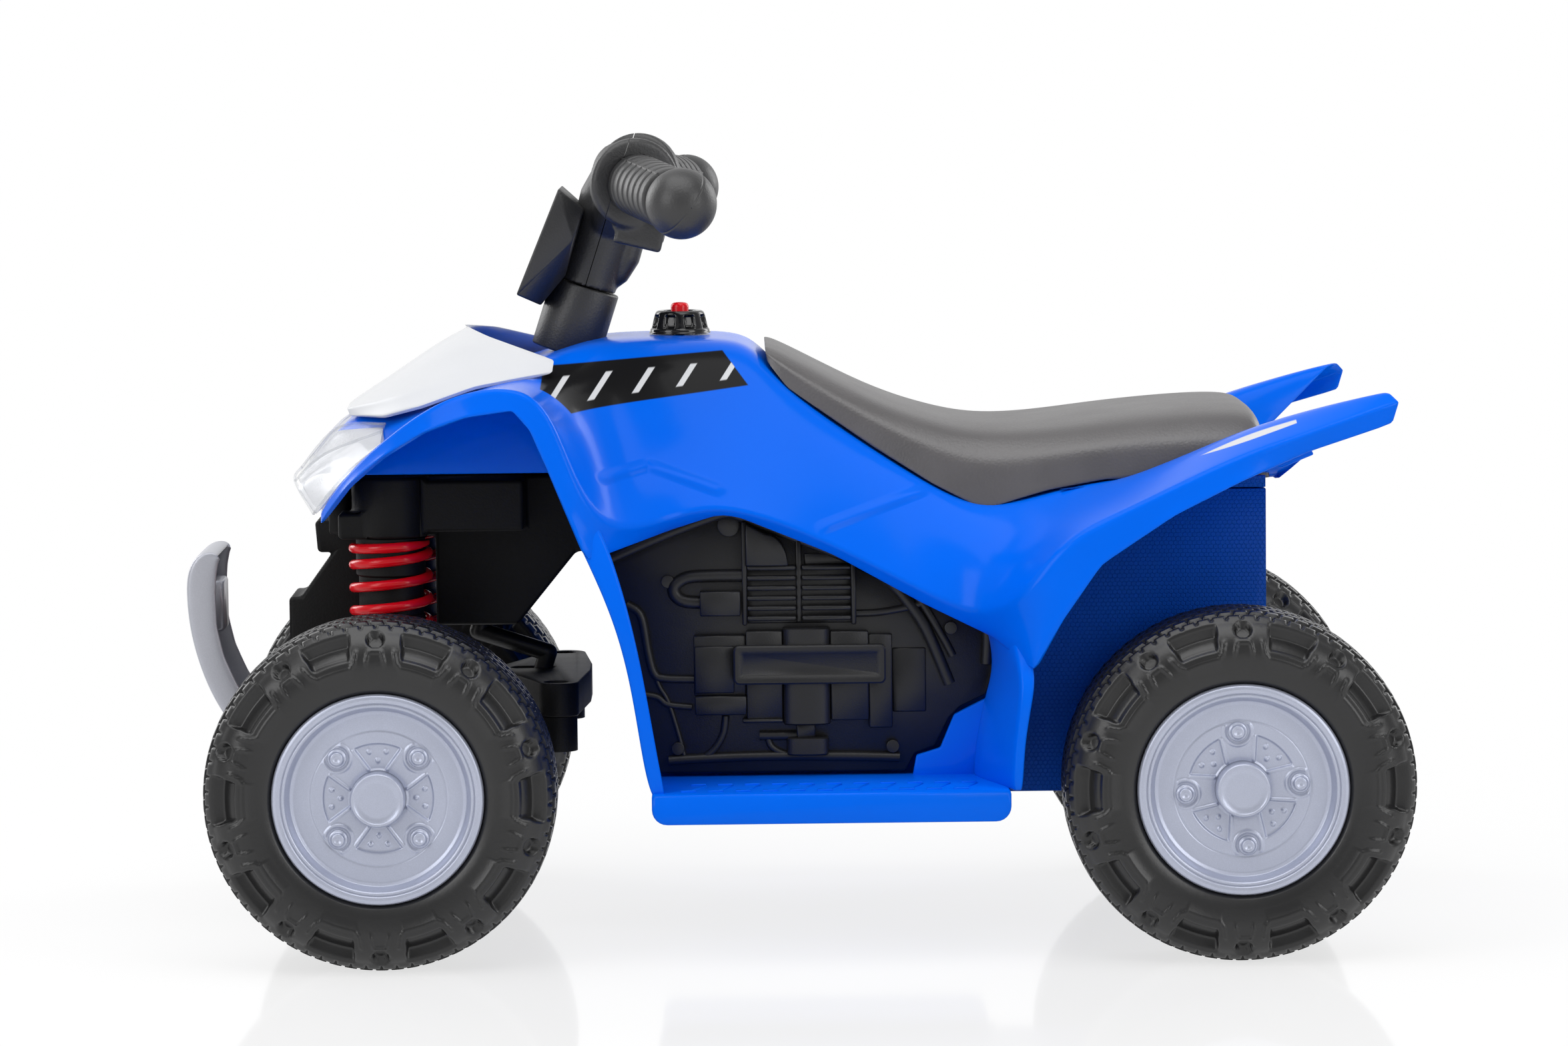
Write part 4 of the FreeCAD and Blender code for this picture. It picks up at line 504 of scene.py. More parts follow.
def finish(name):
    """Named finish of this object, built at its first use."""
    label = "finish_" + name
    known = bpy.data.materials.get(label)
    if known:
        return known
    colours = bpy.context.scene.quad_colours
    makers = {
        "shell_blue": lambda: finish_gloss(label, colours.shell, 0.2, True),
        "moulded_blue": lambda: finish_gloss(label, colours.shell, 0.24),
        # Tub and skirts: the shell blue darkened as painted shade
        "tub_blue": lambda: finish_honeycomb(label, colours.shell),
        "cowl_white": lambda: finish_gloss(label, colours.cowl, 0.24),
        "button_red": lambda: finish_gloss(label, colours.red, 0.2, False, 0.3),
        "knob_black": lambda: finish_gloss(label, colours.black, 0.14, False, 0.5),
        # The black at 0.6 of its strength: painted shade on the carrier, struts and fittings under the body
        "grained_black": lambda: finish_grain(label, shade(colours.black, 0.6)[:3], 0.52, gleam=0.2),
        # The black at 1.9 of its strength: painted light on the handlebar, grips, pod and column sleeve
        "bar_black": lambda: finish_grain(label, shade(colours.black, 1.9)[:3], 0.42, gleam=0.7),
        # The black at 1.2 of its strength: painted light on the side panels, their screws and the steering
        # rod
        "panel_black": lambda: finish_grain(label, shade(colours.black, 1.2)[:3], 0.40, 0.0008, 0.00007, 0.4),
        "seat_grain": lambda: finish_grain(label, colours.seat, 0.40, 0.0013, 0.00016, 1.0),
        "tyre_black": lambda: finish_tyre(label, colours.tyre),
        "rim_silver": lambda: finish_pearl(label, colours.rim),
        "bumper_grey": lambda: finish_pearl(label, colours.bumper, 0.5, 0.38),
        "reflector": lambda: finish_pearl(label, (0.80, 0.81, 0.84), 0.25, 0.26),
        "lens_clear": lambda: finish_lens(label),
        "zinc_steel": lambda: finish_metal(label, (0.55, 0.56, 0.58)),
        "gear_nylon": lambda: finish_gloss(label, (0.78, 0.77, 0.72), 0.4),
        "battery_case": lambda: finish_grain(label, (0.06, 0.062, 0.068), 0.5),
        "lead_cover": lambda: finish_gloss(label, (0.3, 0.012, 0.012), 0.4),
    }
    return makers[name]()


# Mesh helpers
def piece(name, mesh, body, material, replaced=(), sharp=40.0):
    """Object for a mesh, riding on a body, that stands for frame nodes."""
    made = bpy.data.objects.new(name, mesh)
    bpy.context.scene.collection.objects.link(made)
    mesh.shade_smooth()
    mesh.set_sharp_from_angle(angle=math.radians(sharp))
    if not mesh.materials:
        mesh.materials.append(finish(material))
    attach(made, body)
    if replaced:
        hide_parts(*replaced)


def to_mesh(bm, name):
    """Mesh from a bmesh, with outward faces."""
    bmesh.ops.recalc_face_normals(bm, faces=bm.faces)
    mesh = bpy.data.meshes.new(name)
    bm.to_mesh(mesh)
    bm.free()
    return mesh


def net(bm, rows, closed=False, cap=False, crease_rows=None):
    """Quads through rows of points; crease_rows gives edge sharpness along a row."""
    verts = [[bm.verts.new(point) for point in row] for row in rows]
    count = len(rows[0])
    last = count if closed else count - 1
    for first, second in zip(verts, verts[1:]):
        for index in range(last):
            after = (index + 1) % count
            bm.faces.new((first[index], first[after], second[after], second[index]))
    if cap:
        bm.faces.new(verts[0])
        bm.faces.new(verts[-1])
    if crease_rows:
        layer = bm.edges.layers.float.get("crease_edge") or bm.edges.layers.float.new("crease_edge")
        for row, value in crease_rows.items():
            for first, second in zip(verts[row], verts[row][1:]):
                bm.edges.get((first, second))[layer] = value
    return verts


def about_y(radius, y, angle):
    """Place at an angle about the Y axis, from straight up."""
    return Vector((radius * math.sin(angle), y, radius * math.cos(angle)))


def lathe(profile, steps, turn=None):
    """Mesh of revolution about Y of (radius, y) points; turn changes a point by its angle."""
    rows = []
    for radius, y in profile:
        angles = [2 * math.pi * step / steps for step in range(steps)]
        rows.append([about_y(*(turn(radius, y, angle) if turn else (radius, y)), angle) for angle in angles])
    bm = bmesh.new()
    net(bm, rows, closed=True)
    return bm


def smooth_line(points, steps):
    """Points of a Catmull-Rom line through a list of points of any dimension."""
    ends = [points[0]] + list(points) + [points[-1]]
    made = []
    for a, b, c, d in zip(ends, ends[1:], ends[2:], ends[3:]):
        for step in range(steps):
            t = step / steps
            made.append(tuple(0.5 * (2 * q + (r - p) * t + (2 * p - 5 * q + 4 * r - s) * t * t
                                     + (3 * q - p - 3 * r + s) * t ** 3)
                              for p, q, r, s in zip(a, b, c, d)))
    made.append(tuple(points[-1]))
    return made


def tube(bm, points, radius, sides):
    """Round bar along points, of one radius or a list."""
    points = [Vector(point) for point in points]
    radii = radius if isinstance(radius, list) else [radius] * len(points)
    rows = []
    across = None
    for index, point in enumerate(points):
        way = (points[min(index + 1, len(points) - 1)] - points[max(index - 1, 0)]).normalized()
        if across is None:
            across = way.orthogonal().normalized()
        across = (across - way * across.dot(way)).normalized()
        other = way.cross(across)
        row = []
        for step in range(sides):
            angle = 2 * math.pi * step / sides
            offset = (across * math.cos(angle) + other * math.sin(angle)) * radii[index]
            row.append(point + offset)
        rows.append(row)
    net(bm, rows, closed=True, cap=True)


def block(bm, low, high):
    """Box between two corners, added to a bmesh."""
    size = Vector(high) - Vector(low)
    matrix = Matrix.Translation((Vector(low) + Vector(high)) / 2) @ Matrix.Diagonal((*size, 1))
    bmesh.ops.create_cube(bm, size=1, matrix=matrix)


def add_subdivision(made, levels):
    """Subdivision surface on a piece."""
    modifier = made.modifiers.new("Smooth skin", "SUBSURF")
    modifier.levels = levels
    modifier.render_levels = levels


def add_wall(made, wall, rim_crease=0.7):
    """Wall thickness on an open skin."""
    modifier = made.modifiers.new("Wall", "SOLIDIFY")
    modifier.thickness = wall
    modifier.offset = -1
    modifier.edge_crease_rim = rim_crease


def add_edges(made, width, angle=30.0, clamp=True):
    """Moulded edge radius on a hard-edged piece."""
    weld = made.modifiers.new("Joined corners", "WELD")
    weld.merge_threshold = WELD_GAP
    thin = made.modifiers.new("Flat faces", "DECIMATE")
    thin.decimate_type = "DISSOLVE"
    thin.angle_limit = math.radians(1)
    modifier = made.modifiers.new("Edge radius", "BEVEL")
    modifier.width = width
    modifier.segments = 3
    modifier.limit_method = "ANGLE"
    modifier.angle_limit = math.radians(angle)
    modifier.harden_normals = True
    modifier.use_clamp_overlap = clamp


def dress(node, material, width=0.0):
    """Give a frame node its finish and, where it shows, moulded edges."""
    made = frame["nodes"][node]
    made.data.materials.clear()
    made.data.materials.append(finish(material))
    made.data.shade_smooth()
    made.data.set_sharp_from_angle(angle=math.radians(SHARP_ANGLE))
    if width:
        add_edges(made, width, clamp=node != "front_carrier")


def step_between(value, low, high):
    """Smooth rise from 0 at low to 1 at high."""
    t = min(1.0, max(0.0, (value - low) / (high - low)))
    return t * t * (3 - 2 * t)


def fade(value, low, high):
    """Smooth fall from 1 at low to 0 at high."""
    return 1 - step_between(value, low, high)


def add_blend(made, cell, rounds):
    """Melt overlapping forms into one skin with soft inner corners."""
    modifier = made.modifiers.new("Blend", "REMESH")
    modifier.mode = "VOXEL"
    modifier.voxel_size = cell
    soften = made.modifiers.new("Soften", "SMOOTH")
    soften.factor = 0.5
    soften.iterations = rounds


def halves(mesh, place, way):
    """Two closed meshes from one, cut at a plane with a hair gap."""
    made = []
    for side in (-1, 1):
        bm = bmesh.new()
        bm.from_mesh(mesh)
        cut = bmesh.ops.bisect_plane(bm, geom=bm.verts[:] + bm.edges[:] + bm.faces[:],
                                     plane_co=place + way * side * HAIR_GAP, plane_no=way * -side,
                                     clear_outer=True)
        edges = [item for item in cut["geom_cut"] if isinstance(item, bmesh.types.BMEdge)]
        bmesh.ops.holes_fill(bm, edges=edges)
        made.append(to_mesh(bm, "half"))
    return made


def line_gap(point, line):
    """Least distance from a plane point to a broken line."""
    best = math.inf
    for (ax, ay), (bx, by) in zip(line, line[1:]):
        dx, dy = bx - ax, by - ay
        t = ((point[0] - ax) * dx + (point[1] - ay) * dy) / (dx * dx + dy * dy)
        t = min(1.0, max(0.0, t))
        best = min(best, math.hypot(point[0] - ax - t * dx, point[1] - ay - t * dy))
    return best


# Wheels: shares of the tyre radius and half width
tyre_profile_shares = [
    (0.60, 0.80), (0.604, 0.90), (0.625, 0.945), (0.68, 0.975), (0.74, 0.99), (0.79, 0.985),
    (0.84, 0.955), (0.885, 0.895), (0.92, 0.82), (0.945, 0.745), (0.965, 0.695), (0.985, 0.62),
    (0.995, 0.50), (1.0, 0.25), (1.0, 0.0), (1.0, -0.25), (0.995, -0.50), (0.985, -0.62), (0.965, -0.695),
    (0.945, -0.745), (0.92, -0.82), (0.885, -0.895), (0.84, -0.955), (0.79, -0.985), (0.72, -0.985),
    (0.65, -0.93), (0.33, -0.74), (0.152, -0.80), (0.152, -0.99), (0.06, -0.99)]
recess_outline_shares = [
    (-0.60, 0.845), (-0.52, 0.782), (-0.40, 0.752), (0.40, 0.752), (0.52, 0.782), (0.60, 0.845)]
dimple_outline_shares = [(0.78, 0.772), (0.86, 0.838), (1.0, 0.838)]
crown_rows_shares = [-0.60, -0.40, -0.20, 0.0, 0.20, 0.40, 0.60]
rim_profile_shares = [
    (0.262, 0.80), (0.30, 0.78), (0.635, 0.74), (0.645, 0.80), (0.655, 0.74), (0.80, 0.70), (0.835, 0.62),
    (0.865, 0.20), (0.88, 0.08), (0.90, 0.05), (0.905, 0.11), (0.915, 0.11), (0.92, 0.03), (0.955, 0.0),
    (0.985, 0.05), (1.0, 0.22), (1.0, 0.9)]
# Tread and sidewall: shares of the tyre radius, of the half width, and of one tread unit or line width
shoulder_share = 0.70
crown_share = 0.955
detail_share = 0.73
pocket_low_shares = (0.80, 0.812)
pocket_high_shares = (0.925, 0.945)
pocket_slope_shares = (0.80, 0.92)
pocket_shallow_share = 0.6
pocket_width_share = 0.43
pocket_flare_share = 0.55
pocket_edge_share = 0.05
dimple_place_share = 0.905
dimple_size_shares = (0.19, 0.042)
dimple_edge_share = 0.75
line_edge_shares = (0.3, 0.6)
FINE_ROW = 1.1 * MM
COARSE_ROW = 6 * MM
PROFILE_STEPS = 24
UNIT_STEPS = 56


def shoulder_relief(share, angle, wheel):
    """Pockets, dimples and raised outlines of the shoulder and sidewall, in metres."""
    unit = 2 * math.pi / wheel.units
    place = abs((angle / unit) % 1.0 - 0.5) * 2
    wide = pocket_width_share + (share - pocket_low_shares[0]) * pocket_flare_share
    pocket = step_between(share, *pocket_low_shares) * fade(share, *pocket_high_shares)
    slope = pocket_shallow_share + (1 - pocket_shallow_share) * step_between(share, *pocket_slope_shares)
    relief = -wheel.pocket_depth * pocket * fade(place, wide - pocket_edge_share, wide) * slope
    long, tall = dimple_size_shares
    dimple = math.hypot((1 - place) / long, (share - dimple_place_share) / tall)
    relief -= wheel.dimple_depth * fade(dimple, dimple_edge_share, 1.0)
    ring = share * TYRE_RADIUS * unit / 2
    spot = (place * ring, share * TYRE_RADIUS)
    gap = min(line_gap(spot, [(u * ring, r * TYRE_RADIUS) for u, r in table])
              for table in (recess_outline_shares, dimple_outline_shares))
    return relief + wheel.ridge_height * fade(gap, *[edge * wheel.ridge_width for edge in line_edge_shares])


def crown_relief(y_share, angle, wheel):
    """Grooves between the staggered blocks of the crown, in metres."""
    pitch = 2 * math.pi / wheel.blocks
    lane = sum(1 for edge in crown_rows_shares if y_share > edge)
    across = min(abs(y_share - edge) for edge in crown_rows_shares) * TYRE_HALF_WIDTH
    around = abs(((angle / pitch + (lane % 2) * 0.5) % 1.0) - 0.5) * pitch * TYRE_RADIUS
    edges = [edge * wheel.groove_width for edge in line_edge_shares]
    return -wheel.groove_depth * fade(min(across, around), *edges)


def tyre_relief(share, y_share, angle, wheel):
    """How far the tyre's surface stands in or out at a place, in metres."""
    if share <= detail_share:
        return 0.0
    if abs(y_share) > shoulder_share or share < crown_share:
        return shoulder_relief(share, angle, wheel)
    return crown_relief(y_share, angle, wheel)


def tyre_mesh(wheel):
    """Tyre about Y with its outer face at +Y."""
    line = smooth_line(tyre_profile_shares, PROFILE_STEPS)
    rows = []
    for index, ((r0, y0), (r1, y1)) in enumerate(zip(tyre_profile_shares, tyre_profile_shares[1:])):
        gap = math.hypot((r1 - r0) * TYRE_RADIUS, (y1 - y0) * TYRE_HALF_WIDTH)
        steps = max(1, round(gap / (FINE_ROW if min(r0, r1) > detail_share else COARSE_ROW)))
        rows += [line[index * PROFILE_STEPS + round(PROFILE_STEPS * step / steps)] for step in range(steps)]
    rows.append(tyre_profile_shares[-1])
    steps = wheel.units * UNIT_STEPS
    points = []
    for index, (share, y_share) in enumerate(rows):
        before, after = rows[max(index - 1, 0)], rows[min(index + 1, len(rows) - 1)]
        way = Vector(((after[0] - before[0]) * TYRE_RADIUS, (after[1] - before[1]) * TYRE_HALF_WIDTH))
        way.normalize()
        row = []
        for step in range(steps):
            angle = 2 * math.pi * step / steps
            relief = tyre_relief(share, y_share, angle, wheel)
            r = share * (TYRE_RADIUS - TYRE_INSET) - way.y * relief
            h = y_share * (TYRE_HALF_WIDTH - wheel.ridge_height) + way.x * relief
            row.append(about_y(r, h, angle))
        points.append(row)
    bm = bmesh.new()
    net(bm, points, closed=True)
    return to_mesh(bm, "tyre")


# Wheel disc: sector pockets with ribs and dots, and bolts in seats
RIM_FACE_INSET = 2 * MM
RIM_ROW = 0.55 * MM
RIM_STEPS = 336
BOLT_RADIUS = 5.2 * MM
BOLT_HEIGHT = 4.2 * MM
BOLT_STEPS = 24
SECTOR_HALF_WIDTH = 3.5 * MM
SECTOR_DEPTH = 1.4 * MM
SECTOR_EDGE = 0.4 * MM
RIB_OFFSET = 1.1 * MM
RIB_HEIGHT = 0.7 * MM
DOT_HEIGHT = 1.1 * MM
SEAT_RING = 7.2 * MM
SEAT_RING_HEIGHT = 0.8 * MM
sector_inner = (15.0 * MM, 15.6 * MM)
sector_outer = (28.2 * MM, 29.0 * MM)
rib_edge = (0.4 * MM, 1.0 * MM)
dot_edge = (0.8 * MM, 1.5 * MM)
seat_ring_edge = (0.4 * MM, 1.1 * MM)
seat_ring_end = (34.0 * MM, 34.8 * MM)
sector_flare_share = 0.62
bolt_seat_share = 0.76
dot_shares = [(0.15, 0.81), (-0.15, 0.81), (0.0, 0.66)]
bolt_profile_shares = [(1.0, -0.238), (1.0, 0.238), (0.885, 0.357), (0.712, 0.381), (0.692, 0.81),
                       (0.577, 0.976), (0.404, 1.0), (0.327, 0.857), (0.02, 0.833)]
hub_cap_lip_share = 0.9
hub_cap_shares = [(1.0, 1.0), (0.985, 0.545), (0.94, 0.136), (0.9, 0.0), (0.86, 0.136), (0.83, 0.364),
                  (0.6, 0.341), (0.007, 0.318)]
HUB_CAP_EDGE = 2.2 * MM
REAR_RIM_TURN = -40.0


def rim_mesh(wheel):
    """Wheel disc about Y with its outer face at +Y, bolts on the diagonals."""
    face = TYRE_HALF_WIDTH - RIM_FACE_INSET
    line = []
    for (r0, d0), (r1, d1) in zip(rim_profile_shares, rim_profile_shares[1:]):
        steps = max(1, round((r1 - r0) * wheel.rim_radius / RIM_ROW))
        line += [(r0 + (r1 - r0) * step / steps, d0 + (d1 - d0) * step / steps) for step in range(steps)]
    line.append(rim_profile_shares[-1])

    def turn(r, depth, angle):
        return r, face - depth * wheel.rim_depth + rim_relief(r, angle, wheel)

    bm = lathe([(share * wheel.rim_radius, depth) for share, depth in line], RIM_STEPS, turn)
    seat = face - bolt_seat_share * wheel.rim_depth
    for index in range(4):
        centre = about_y(wheel.bolt_circle, seat, math.pi / 4 + index * math.pi / 2)
        net(bm, [[centre + about_y(r * BOLT_RADIUS, h * BOLT_HEIGHT, 2 * math.pi * step / BOLT_STEPS)
                  for step in range(BOLT_STEPS)] for r, h in bolt_profile_shares], closed=True)
    return to_mesh(bm, "rim")


def rim_relief(r, angle, wheel):
    """Sector pockets with dots, ribs and bolt seats of the wheel disc, in metres."""
    turn = (angle + math.pi / 4) % (math.pi / 2) - math.pi / 4
    x, z = r * math.sin(turn), r * math.cos(turn)
    inside = step_between(r, *sector_inner) * fade(r, *sector_outer)
    half = SECTOR_HALF_WIDTH + (r - sector_inner[0]) * sector_flare_share
    relief = -SECTOR_DEPTH * inside * fade(abs(x), half - SECTOR_EDGE, half + SECTOR_EDGE)
    relief += RIB_HEIGHT * inside * fade(abs(abs(x) - half - RIB_OFFSET), *rib_edge)
    for across, out in dot_shares:
        spot = math.hypot(x - across * wheel.bolt_circle, z - out * wheel.bolt_circle)
        relief += DOT_HEIGHT * fade(spot, *dot_edge)
    quarter = (angle % (math.pi / 2)) - math.pi / 4
    seat = math.hypot(r * math.sin(quarter), r * math.cos(quarter) - wheel.bolt_circle)
    return relief + SEAT_RING_HEIGHT * fade(abs(seat - SEAT_RING), *seat_ring_edge) * fade(r, *seat_ring_end)


def hub_cap_mesh():
    """Cup over the axle end, with a raised ring."""
    low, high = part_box("front_hub_cap_left")
    radius = (high.z - low.z) / 2
    top, base = FRONT_AXLE.y - low.y, FRONT_AXLE.y - high.y
    profile = [(radius * hub_cap_lip_share, base), (radius, base)]
    profile += [(radius * wide, top - drop * HUB_CAP_EDGE) for wide, drop in hub_cap_shares]
    return to_mesh(lathe(profile, steps=96), "hub_cap")


class QUAD_OT_wheels(Operator):
    """Tyres, wheel discs and hub caps of the four wheels"""

    bl_idname = "quad.wheels"
    bl_label = "Wheels"

    def execute(self, context):
        wheel = context.scene.quad_wheels
        meshes = {"tyre": (tyre_mesh(wheel), "tyre_black", "tyre_black"),
                  "rim": (rim_mesh(wheel), "silver_plastic", "rim_silver"),
                  "hub_cap": (hub_cap_mesh(), "silver_plastic", "rim_silver")}
        for end in ENDS:
            for side, sign in SIDES.items():
                centre = middle(f"{end}_tyre_{side}")
                face = Matrix.Rotation(0 if sign > 0 else math.pi, 4, "Z")
                for kind, (mesh, slot, material) in meshes.items():
                    node = f"{end}_{kind}_{side}"
                    turn = math.radians(REAR_RIM_TURN if end == "rear" and kind == "rim" else 0)
                    made = bpy.data.objects.new(node + "_moulded", mesh)
                    context.scene.collection.objects.link(made)
                    made.matrix_world = Matrix.Translation(centre) @ face @ Matrix.Rotation(turn, 4, "Y")
                    mesh.shade_smooth()
                    if not mesh.materials:
                        mesh.materials.append(finish(material))
                    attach(made, f"{end}_{side}_wheel")
                    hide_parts(node)
        return {"FINISHED"}


# Shell: shares of the wheelbase behind the front axle, of the half width, and of the rise over the footrest
seam_shares = [
    (-0.095, 0.24, 0.70), (-0.055, 0.25, 0.82), (0.0, 0.27, 0.85), (0.05, 0.29, 0.885),
    (0.105, 0.30, 0.915), (0.155, 0.30, 0.94), (0.20, 0.30, 0.965), (0.235, 0.30, 0.99),
    (0.28, 0.30, 1.0), (0.40, 0.31, 1.0), (0.44, 0.34, 0.985), (0.48, 0.41, 0.885), (0.58, 0.48, 0.75),
    (0.65, 0.54, 0.665), (0.71, 0.57, 0.605), (0.785, 0.60, 0.65), (0.855, 0.61, 0.675),
    (0.93, 0.61, 0.675), (0.99, 0.61, 0.675), (1.03, 0.60, 0.675), (1.06, 0.59, 0.675)]
shoulder_shares = [
    (-0.085, 0.36, 0.64), (-0.045, 0.40, 0.735), (0.01, 0.47, 0.815), (0.055, 0.50, 0.855),
    (0.105, 0.515, 0.89), (0.16, 0.525, 0.92), (0.20, 0.525, 0.925), (0.24, 0.525, 0.915),
    (0.285, 0.525, 0.89), (0.35, 0.515, 0.875), (0.435, 0.50, 0.865), (0.49, 0.525, 0.805),
    (0.59, 0.575, 0.685), (0.665, 0.61, 0.615), (0.725, 0.645, 0.575), (0.795, 0.66, 0.63),
    (0.86, 0.635, 0.67), (0.935, 0.635, 0.74), (1.005, 0.635, 0.795), (1.075, 0.66, 0.84),
    (1.177, 0.755, 0.888)]
flank_shares = [
    (-0.08, 0.455, 0.62), (-0.04, 0.55, 0.69), (0.015, 0.68, 0.775), (0.055, 0.74, 0.85),
    (0.105, 0.765, 0.895), (0.16, 0.78, 0.925), (0.20, 0.765, 0.89), (0.23, 0.74, 0.815),
    (0.275, 0.705, 0.69), (0.345, 0.67, 0.715), (0.415, 0.67, 0.69), (0.52, 0.67, 0.62),
    (0.62, 0.685, 0.515), (0.695, 0.73, 0.455), (0.75, 0.84, 0.485), (0.795, 0.85, 0.595),
    (0.86, 0.825, 0.645), (0.935, 0.815, 0.71), (1.005, 0.80, 0.785), (1.08, 0.78, 0.832),
    (1.187, 0.79, 0.884)]
crest_shares = [
    (-0.08, 0.515, 0.605), (-0.04, 0.685, 0.715), (0.005, 0.84, 0.795), (0.055, 0.93, 0.87),
    (0.105, 0.975, 0.915), (0.165, 0.99, 0.925), (0.20, 0.99, 0.875), (0.22, 0.99, 0.77),
    (0.26, 0.975, 0.57), (0.34, 0.73, 0.605), (0.405, 0.725, 0.645), (0.53, 0.725, 0.545),
    (0.635, 0.73, 0.43), (0.705, 0.765, 0.37), (0.74, 0.97, 0.415), (0.795, 0.99, 0.56),
    (0.855, 0.99, 0.615), (0.925, 0.99, 0.68), (1.005, 0.96, 0.75), (1.08, 0.90, 0.79),
    (1.197, 0.825, 0.864)]
lip_shares = [
    (-0.08, 0.525, 0.585), (-0.04, 0.70, 0.685), (0.005, 0.855, 0.76), (0.055, 0.945, 0.82),
    (0.105, 0.99, 0.855), (0.16, 1.0, 0.87), (0.18, 1.0, 0.825), (0.20, 1.0, 0.735),
    (0.245, 0.995, 0.525), (0.34, 0.705, 0.575), (0.405, 0.70, 0.615), (0.53, 0.70, 0.515),
    (0.635, 0.705, 0.40), (0.715, 0.755, 0.325), (0.76, 0.99, 0.265), (0.795, 1.0, 0.38),
    (0.84, 1.0, 0.505), (0.925, 1.0, 0.615), (1.005, 0.97, 0.69), (1.085, 0.885, 0.75),
    (1.19, 0.825, 0.812)]
front_leg_shares = [
    (0.221, 0.62), (0.2425, 0.53), (0.273, 0.395), (0.293, 0.245), (0.307, 0.04), (0.317, -0.02)]
front_flange_shares = [
    (0.246, 0.64), (0.268, 0.565), (0.294, 0.39), (0.309, 0.24), (0.323, 0.07), (0.332, -0.02)]
front_leg_width_shares = [0.97, 0.985, 0.997, 0.997, 0.997, 0.997]
front_flange_width_shares = [0.93, 0.965, 0.995, 0.997, 0.997, 0.997]
rear_inner_shares = [
    (0.700, 0.62, 0.40), (0.715, 0.617, 0.30), (0.716, 0.617, 0.235), (0.705, 0.617, 0.16),
    (0.696, 0.617, 0.07), (0.692, 0.617, -0.012)]
rear_fold_shares = [
    (0.712, 0.73, 0.385), (0.722, 0.72, 0.295), (0.725, 0.72, 0.235), (0.714, 0.72, 0.155),
    (0.704, 0.72, 0.069), (0.701, 0.72, -0.012)]
rear_outer_shares = [
    (0.736, 0.86, 0.36), (0.745, 0.955, 0.268), (0.747, 0.997, 0.22), (0.742, 0.997, 0.14),
    (0.738, 0.997, 0.07), (0.736, 0.997, -0.012)]
rear_lip_shares = [
    (0.755, 0.93, 0.31), (0.763, 0.985, 0.255), (0.760, 0.997, 0.205), (0.753, 0.997, 0.135),
    (0.749, 0.997, 0.07), (0.747, 0.997, -0.012)]
rear_return_share = 0.84
corner_shares = [
    (0.623, -0.01), (0.628, 0.039), (0.656, 0.055), (0.673, 0.133), (0.713, 0.172), (0.722, 0.20),
    (0.722, -0.01)]
arch_wall_shares = [
    (-0.06, 0.702), (-0.05, 0.715), (-0.02, 0.755), (0.03, 0.812), (0.10, 0.878), (0.16, 0.905),
    (0.20, 0.90), (0.225, 0.87), (0.255, 0.702)]
rear_skirt_shares = [(0.80, 0.655), (1.043, 0.655), (1.043, 0.682), (0.94, 0.675), (0.86, 0.666)]
fin_tab_shares = [(1.036, 0.722), (1.054, 0.711), (1.092, 0.741), (1.086, 0.765), (1.05, 0.755)]
fold_shares = [
    ((0.232, 0.687), (0.314, 0.726)), ((0.314, 0.726), (0.40, 0.665)), ((0.518, 0.577), (0.643, 0.658))]
cowl_edge_shares = [
    (-0.05, 0.24, 0.825), (-0.002, 0.46, 0.834), (0.045, 0.56, 0.862), (0.11, 0.60, 0.908),
    (0.205, 0.56, 0.94)]
cowl_band_shares = [
    (-0.053, 0.225, 0.842), (-0.006, 0.41, 0.864), (0.042, 0.475, 0.898), (0.108, 0.495, 0.94),
    (0.207, 0.515, 0.968)]
cowl_mid_shares = [(-0.055, 0.165, 0.84), (-0.01, 0.27, 0.88), (0.035, 0.29, 0.935), (0.08, 0.30, 0.99),
                   (0.125, 0.31, 1.015)]
cowl_ridge_shares = [(-0.055, 0.0, 0.845), (-0.015, 0.0, 0.90), (0.02, 0.0, 0.95), (0.055, 0.0, 0.995),
                     (0.085, 0.0, 1.035)]
lens_top_shares = [(-0.105, 0.265, 0.71), (-0.06, 0.30, 0.805), (0.0, 0.44, 0.82)]
lens_mid_shares = [(-0.11, 0.37, 0.685), (-0.07, 0.50, 0.755), (0.0, 0.585, 0.81)]
lens_low_shares = [(-0.085, 0.50, 0.615), (-0.045, 0.645, 0.71), (0.005, 0.74, 0.79)]
seat_top_shares = [0.985, 0.965, 0.86, 0.815, 0.79, 0.795, 0.813, 0.828, 0.835, 0.833, 0.813]
seat_section_shares = [(1.0, 0.0), (0.97, 0.55), (0.82, 0.92), (0.45, 1.0), (0.0, 1.0)]
SHELL_RISE = 230 * MM
# Leg walls, plates from and to a distance from the middle, nose and seat
front_leg_rail_shares = (0.539, 0.838)
flange_return_share = 0.055
CORNER_PLATE = (98.2 * MM, 103.2 * MM)
ARCH_WALL = (90.2 * MM, 93.0 * MM)
FIN_TAB = (128 * MM, 141 * MM)
SKIRT = (101.0 * MM, 104.0 * MM)
SKIN_SHARP = 55.0
COWL_WALL = 2.4 * MM
LENS_WALL = 1.8 * MM
LENS_EDGE = 0.8 * MM
LENS_EDGE_DROP = 1.2 * MM
PAN_WALL = 1.2 * MM
PAN_RIM_DROP = 2.6 * MM
PAN_DEPTH = 6 * MM
SEAT_STATION = 10
SEAT_WALL = 3 * MM
SEAT_GAP = 0.4 * MM
SEAT_TAIL = 3 * MM
SEAT_TAIL_RISE = 4 * MM
seat_front_share = 0.35
seat_rear_share = 0.45


def shell_point(share, side=-1):
    """Place on the shell from its shares."""
    x, y, z = share
    return Vector((FRONT_AXLE.x + x * WHEELBASE, side * y * BODY_HALF_WIDTH, FOOTREST_TOP + z * SHELL_RISE))


def side_point(share, y):
    """Place in a side view from shares of x and z, at a distance y from the middle."""
    return Vector((FRONT_AXLE.x + share[0] * WHEELBASE, y, FOOTREST_TOP + share[1] * SHELL_RISE))


